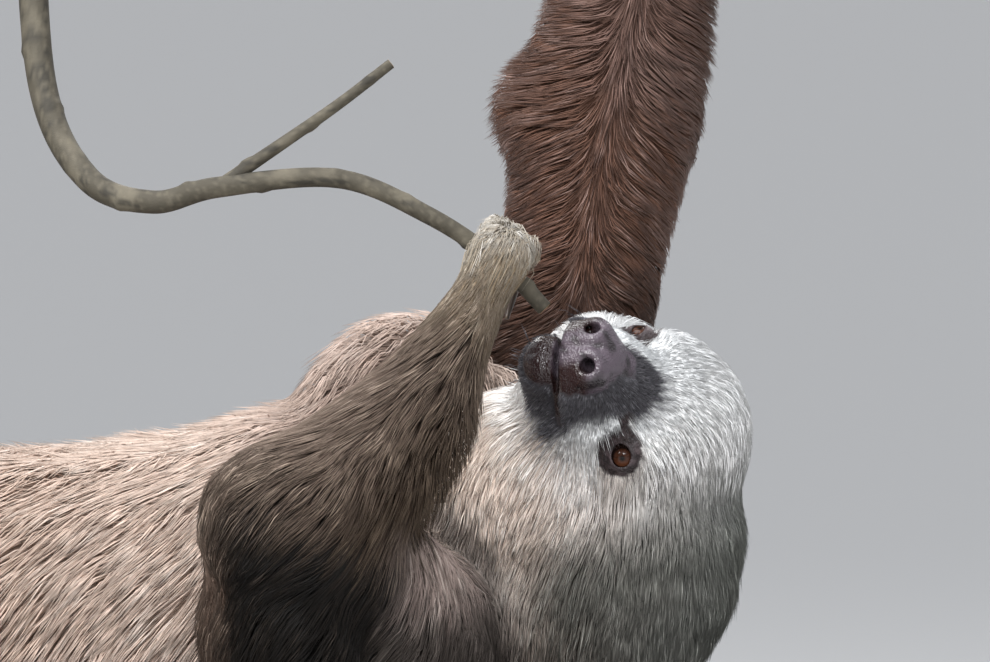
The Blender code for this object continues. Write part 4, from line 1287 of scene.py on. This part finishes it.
def build_skin(field):
    places, faces = skin_mesh(field)
    mesh = mesh_of("skin", places, *faces)
    points = places.astype(float)
    deep, main, _, bare, _, eye = coat_colours(points, bone_shares(points))
    # the skin under the coat is painted dark like the roots of the hair: painted shade under the
    # coat
    under = mix(deep, main, 0.55)
    _, l, u = head_places(points).T
    nose = mix(linear(80, 70, 78), linear(38, 32, 35),
               smoothstep(-0.4, 0.8, wander(points, 0.010, 4)))
    wings = smoothstep(5, 10, np.abs(l)) * smoothstep(-9, -14, u) + smoothstep(-27, -30, u)
    nose = mix(nose, linear(34, 17, 14), np.clip(wings, 0, 1) * 0.92)
    colours = mix(under, nose, bare)
    lids = mix(linear(74, 62, 64), linear(42, 34, 35),
               smoothstep(-0.6, 0.5, wander(points, 0.007, 9)))
    colours = mix(colours, lids, smoothstep(0.4, 0.9, eye) * (1 - bare))
    paint(mesh, "coat", colours)
    wet = np.maximum(bare, 0.55 * eye)
    paint(mesh, "wet", np.repeat(wet[:, None], 3, 1))
    skin = new_object("skin", mesh, skin_material())
    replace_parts(skin, *FLESH)
    return skin


def iris_colour(turned, tilt, droop):
    """Colour of the ball: pupil, rayed iris with painted light below, dark rim and dim white."""
    ray = 0.5 + 0.5 * math.sin(turned * 23 + 2 * math.sin(turned * 7))
    iris = mix(linear(62, 36, 25), linear(42, 25, 18), ray)
    # painted light: the lower iris is lighter, as where light gathers
    iris = mix(iris, linear(92, 52, 31), 0.6 * float(smoothstep(-0.1, 0.5, droop)))
    iris = mix(iris, linear(20, 12, 10), float(smoothstep(31, 40, tilt)))
    iris = mix(linear(10, 7, 6), iris, float(smoothstep(7, 12, tilt)))
    return mix(iris, linear(34, 22, 19), float(smoothstep(42, 50, tilt)))


def build_eye(side, name):
    """The ball, its clear front slightly raised, with the iris and pupil in its colours."""
    axis = Vector(eye_axis(side) @ HEAD_AXES)
    turn = axis.to_track_quat("Z", "Y").to_matrix()
    centre = LEFT_EYE if side > 0 else RIGHT_EYE
    rows, columns = 40, 64
    spots = [(0.0, 0.0)]
    spots += [(math.pi * row / rows, turned)
              for row in range(1, rows) for turned in round_angles(columns)]
    spots.append((math.pi, 0.0))
    points, colours = [], []
    for angle, turned in spots:
        tilt = math.degrees(angle)
        flat = math.sin(angle)
        out = turn @ Vector((flat * math.cos(turned), flat * math.sin(turned), math.cos(angle)))
        points.append(centre + out * EYE_RADIUS * (1 + 0.05 * float(smoothstep(42, 20, tilt))))
        colours.append(iris_colour(turned, tilt, axis.z - out.z))
    here, after = np.arange(columns), (np.arange(columns) + 1) % columns
    last = len(spots) - 1
    low = last - columns
    front = np.stack([0 * here, 1 + here, 1 + after], 1)
    back = np.stack([last + 0 * here, low + after, low + here], 1)
    mesh = mesh_of(name, np.array(points), front, back, bands(rows - 1, columns) + 1)
    paint(mesh, "coat", np.array(colours))
    ball = painted(name, roughness=0.07, specular=0.20)
    eye = new_object(name + "_ball", mesh, ball)
    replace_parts(eye, name)


# ---------------------------------------------------------------- claws, perch and stand

def smoothed(knots, steps):
    """A finer line through the given points, whose other values go along with them."""
    knots = np.array(knots, float)
    knots = np.vstack([2 * knots[0] - knots[1], knots, 2 * knots[-1] - knots[-2]])
    t = np.arange(steps)[:, None] / steps
    pieces = [0.5 * (2 * b + (c - a) * t + (2 * a - 5 * b + 4 * c - d) * t * t
                     + (3 * b - a - 3 * c + d) * t ** 3)
              for a, b, c, d in zip(knots, knots[1:], knots[2:], knots[3:])]
    return np.vstack([*pieces, knots[-2:-1]])


def tube(line, radii, sides, across, caps=(0.94, 0.8, 0.66, 0.52, 0.38, 0.24, 0.1)):
    """A closed tube: its points, its faces, and how far out each point lies on a cut end."""
    run = unit(np.gradient(line, axis=0))
    side = unit(np.cross(run, across))
    top = np.cross(side, run)
    turn = round_angles(sides)[:, None]
    spokes = np.cos(turn) * side[:, None] + np.sin(turn) * top[:, None]
    rings = line[:, None] + spokes * radii[..., None]
    bevel = 0.06 * radii.mean(1)[[0, -1], None] * run[[0, -1]]
    starts = [line[0] + (rings[0] - line[0]) * share - bevel[0] for share in caps]
    ends = [line[-1] + (rings[-1] - line[-1]) * share + bevel[1] for share in caps]
    rows = np.array([*starts[::-1], *rings, *ends])
    depth = np.concatenate([caps[::-1], np.ones(len(rings)), caps])
    closing = np.arange(sides)[None]
    faces = [bands(len(rows), sides), closing, (closing + (len(rows) - 1) * sides)[:, ::-1]]
    return rows.reshape(-1, 3), faces, np.repeat(depth, sides)


def bark_colours(points, depth, tones):
    """Bark in long blotches with pale lenticels; on a cut end the rings of the wood."""
    dark, main, pale = (linear(*tone) for tone in tones)
    blotch = wander(points, 0.030, 61)
    speck = smoothstep(0.45, 0.75, wander(points, 0.004, 62, 1))
    crack = smoothstep(0.35, 0.8, wander(points * (0.25, 1, 1), 0.006, 63))
    colours = mix(mix(main, pale, smoothstep(-0.2, 0.9, blotch)), dark, 0.7 * crack)
    colours = mix(colours, pale * 1.15, 0.4 * speck)
    ring = 0.5 + 0.5 * np.sin(depth * 34)
    wood = mix(linear(206, 176, 132), linear(170, 132, 90), ring)
    return mix(colours, wood, depth < 0.97)


def bark_piece(name, node, tubes, tones, surface):
    """One piece of bark from several tubes."""
    points, faces, depths, count = [], [], [], 0
    for place, groups, depth in tubes:
        points.append(place)
        faces += [group + count for group in groups]
        depths.append(depth)
        count += len(place)
    places = np.concatenate(points)
    mesh = mesh_of(name, places, *faces)
    paint(mesh, "coat", bark_colours(places, np.concatenate(depths), tones))
    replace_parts(new_object(name, mesh, surface), node)


BRANCH_SIDES = 48
TWIG_SIDES = 24
SCAR_GAP = 0.031        # between the leaf scars of the side branch


def build_perch():
    surface = bark_material()
    x = np.linspace(-BRANCH_REACH, BRANCH_REACH, 260)
    line = np.array([branch_point(value) for value in x])
    knots = sum(np.exp(-((x - knot) / 0.014) ** 2) for knot in (-0.31, -0.055, 0.30))
    radii = BRANCH_RADIUS * (1 - 0.10 * x / BRANCH_REACH) + 0.0022 * knots
    furrow = np.stack([wander(np.stack([x * 3, 0.05 * np.cos(angle) + 0 * x,
                                        0.05 * np.sin(angle) + 0 * x], 1), 0.035, 71, 3)
                       for angle in round_angles(BRANCH_SIDES)], 1)
    branch = tube(line, radii[:, None] + 0.0007 * furrow - 0.0004, BRANCH_SIDES,
                  across=(0, 1, 0.2))
    bark_piece("perch_bark", "perch_branch", [branch],
               ((62, 52, 45), (108, 95, 84), (142, 132, 120)), surface)

    count = len(TWIG_PATH)
    stem = [(*point, TWIG_RADIUS + 0.0042 * (1 - i / (count - 1)) ** 1.6)
            for i, point in enumerate(TWIG_PATH)]
    shoot = [(*TWIG_PATH[5], 0.0030), (0.074, -0.042, 0.402, 0.0024),
             (0.100, -0.040, 0.422, 0.0022)]
    tubes = []
    for knots in (stem, shoot):
        values = smoothed(knots, 24)
        line, radii = values[:, :3], values[:, 3]
        along = np.concatenate([[0], np.cumsum(np.linalg.norm(np.diff(line, axis=0), axis=1))])
        scar = np.exp(-(((along % SCAR_GAP) - SCAR_GAP / 2) / 0.0022) ** 2)
        facing = 0.5 + 0.5 * np.cos(round_angles(TWIG_SIDES)[None, :]
                                    - 2.4 * (along // SCAR_GAP)[:, None])
        bumps = 0.0009 * scar[:, None] * facing ** 3
        tubes.append(tube(line, radii[:, None] * 0.98 + bumps, TWIG_SIDES, across=(0.1, 1, 0.2)))
    bark_piece("side_branch_bark", "perch_side_branch", tubes,
               ((31, 28, 21), (62, 57, 46), (90, 84, 71)), surface)


def build_claws():
    """Smooth hooked claws of grey-brown horn, slightly flattened from side to side."""
    horn = painted("claw_horn", roughness=0.32)
    sides = 20
    caps = (0.9, 0.6, 0.25)
    keel = 1 - 0.07 * (1 - np.cos(4 * round_angles(sides))) / 2
    for name, line in claw_lines(41).items():
        t = np.linspace(0, 1, len(line))
        radii = CLAW_ROOT + (CLAW_TIP - CLAW_ROOT) * t ** 1.4
        points, faces, _ = tube(np.array(line), radii[:, None] * keel, sides,
                                across=(1, 0, 0), caps=caps)
        mesh = mesh_of(name + "_horn", points, *faces)
        share = np.concatenate([[0] * len(caps), t, [1] * len(caps)]).repeat(sides)
        streak = wander(points, 0.008, 81)
        colours = mix(linear(112, 94, 76), linear(62, 50, 42), smoothstep(0.1, 0.9, share))
        colours = mix(colours, linear(150, 132, 108), 0.35 * smoothstep(0.2, 0.9, streak))
        paint(mesh, "coat", colours)
        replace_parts(new_object(name + "_horn", mesh, horn), name)


PLATE_LENGTH, PLATE_DEPTH, PLATE_HEIGHT = 0.84, 0.38, 0.020
PLATE_CORNER = 0.03
PLATE_EDGE = 0.004      # rounding of the upper edge
PLATE_BEVEL = 0.0015    # of the lower edge
ROD_RADIUS = 0.007
ROD_PLACE = 0.385       # of each rod, from the middle of the branch
ROD_FOOT = 0.012        # the rods stand in the plate, from this height


def plate_mesh():
    """The plate, from rows round its rim: how far in each lies, and how high."""
    rows = [(PLATE_BEVEL, 0.0), (0.0, PLATE_BEVEL), (0.0, PLATE_HEIGHT - PLATE_EDGE)]
    rows += [(PLATE_EDGE - PLATE_EDGE * math.cos(angle),
              PLATE_HEIGHT - PLATE_EDGE + PLATE_EDGE * math.sin(angle))
             for angle in np.linspace(0, math.pi / 2, 6)[1:]]
    steps = 13
    points = []
    for inset, level in rows:
        for sx, sy, start in ((1, 1, 0), (-1, 1, 90), (-1, -1, 180), (1, -1, 270)):
            for angle in np.radians(start + np.linspace(0, 90, steps)):
                reach = PLATE_CORNER - inset
                points.append((sx * (PLATE_LENGTH / 2 - PLATE_CORNER) + reach * math.cos(angle),
                               sy * (PLATE_DEPTH / 2 - PLATE_CORNER) + reach * math.sin(angle),
                               level))
    around = 4 * steps
    rim = np.arange(around)[None]
    mesh = mesh_of("stand_plate", points, bands(len(rows), around)[:, ::-1], rim[:, ::-1],
                   rim + (len(rows) - 1) * around)
    smooth = np.ones(len(mesh.polygons), bool)
    smooth[-2:] = False         # its flat underside and top
    mesh.polygons.foreach_set("use_smooth", smooth)
    return mesh


def build_stand():
    """A satin black plate with rounded corners, and two steel rods."""
    satin = worked("stand_paint", ((40, 41, 44), (54, 55, 58)), roughness=0.42, scale=700,
                   stretch=(1, 1, 1), depth=0.0003)
    plate = new_object("stand_plate", plate_mesh(), satin)
    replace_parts(plate, "stand_base")
    steel = worked("rod_steel", ((146, 148, 151), (182, 184, 187)), roughness=0.30, scale=900,
                   stretch=(1, 1, 0.02), depth=0.00005, metallic=1.0)
    for name, side in (("stand_rod_head", 1), ("stand_rod_rump", -1)):
        top = branch_point(side * ROD_PLACE)
        line = np.array([(side * ROD_PLACE, top.y, z)
                         for z in np.linspace(ROD_FOOT, top.z - BRANCH_RADIUS * 0.6, 5)])
        points, faces, _ = tube(line, np.full((len(line), 1), ROD_RADIUS), sides=40,
                                across=(0, 1, 0), caps=(0.9,))
        mesh = mesh_of(name + "_steel", points, *faces)
        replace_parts(new_object(name + "_steel", mesh, steel), name)


field = Field()
skin = build_skin(field)
grow_coat(skin, field, painted("hair", roughness=0.55, specular=0.20))
build_eye(1, "left_eye")
build_eye(-1, "right_eye")
build_perch()
build_claws()
build_stand()
stage()
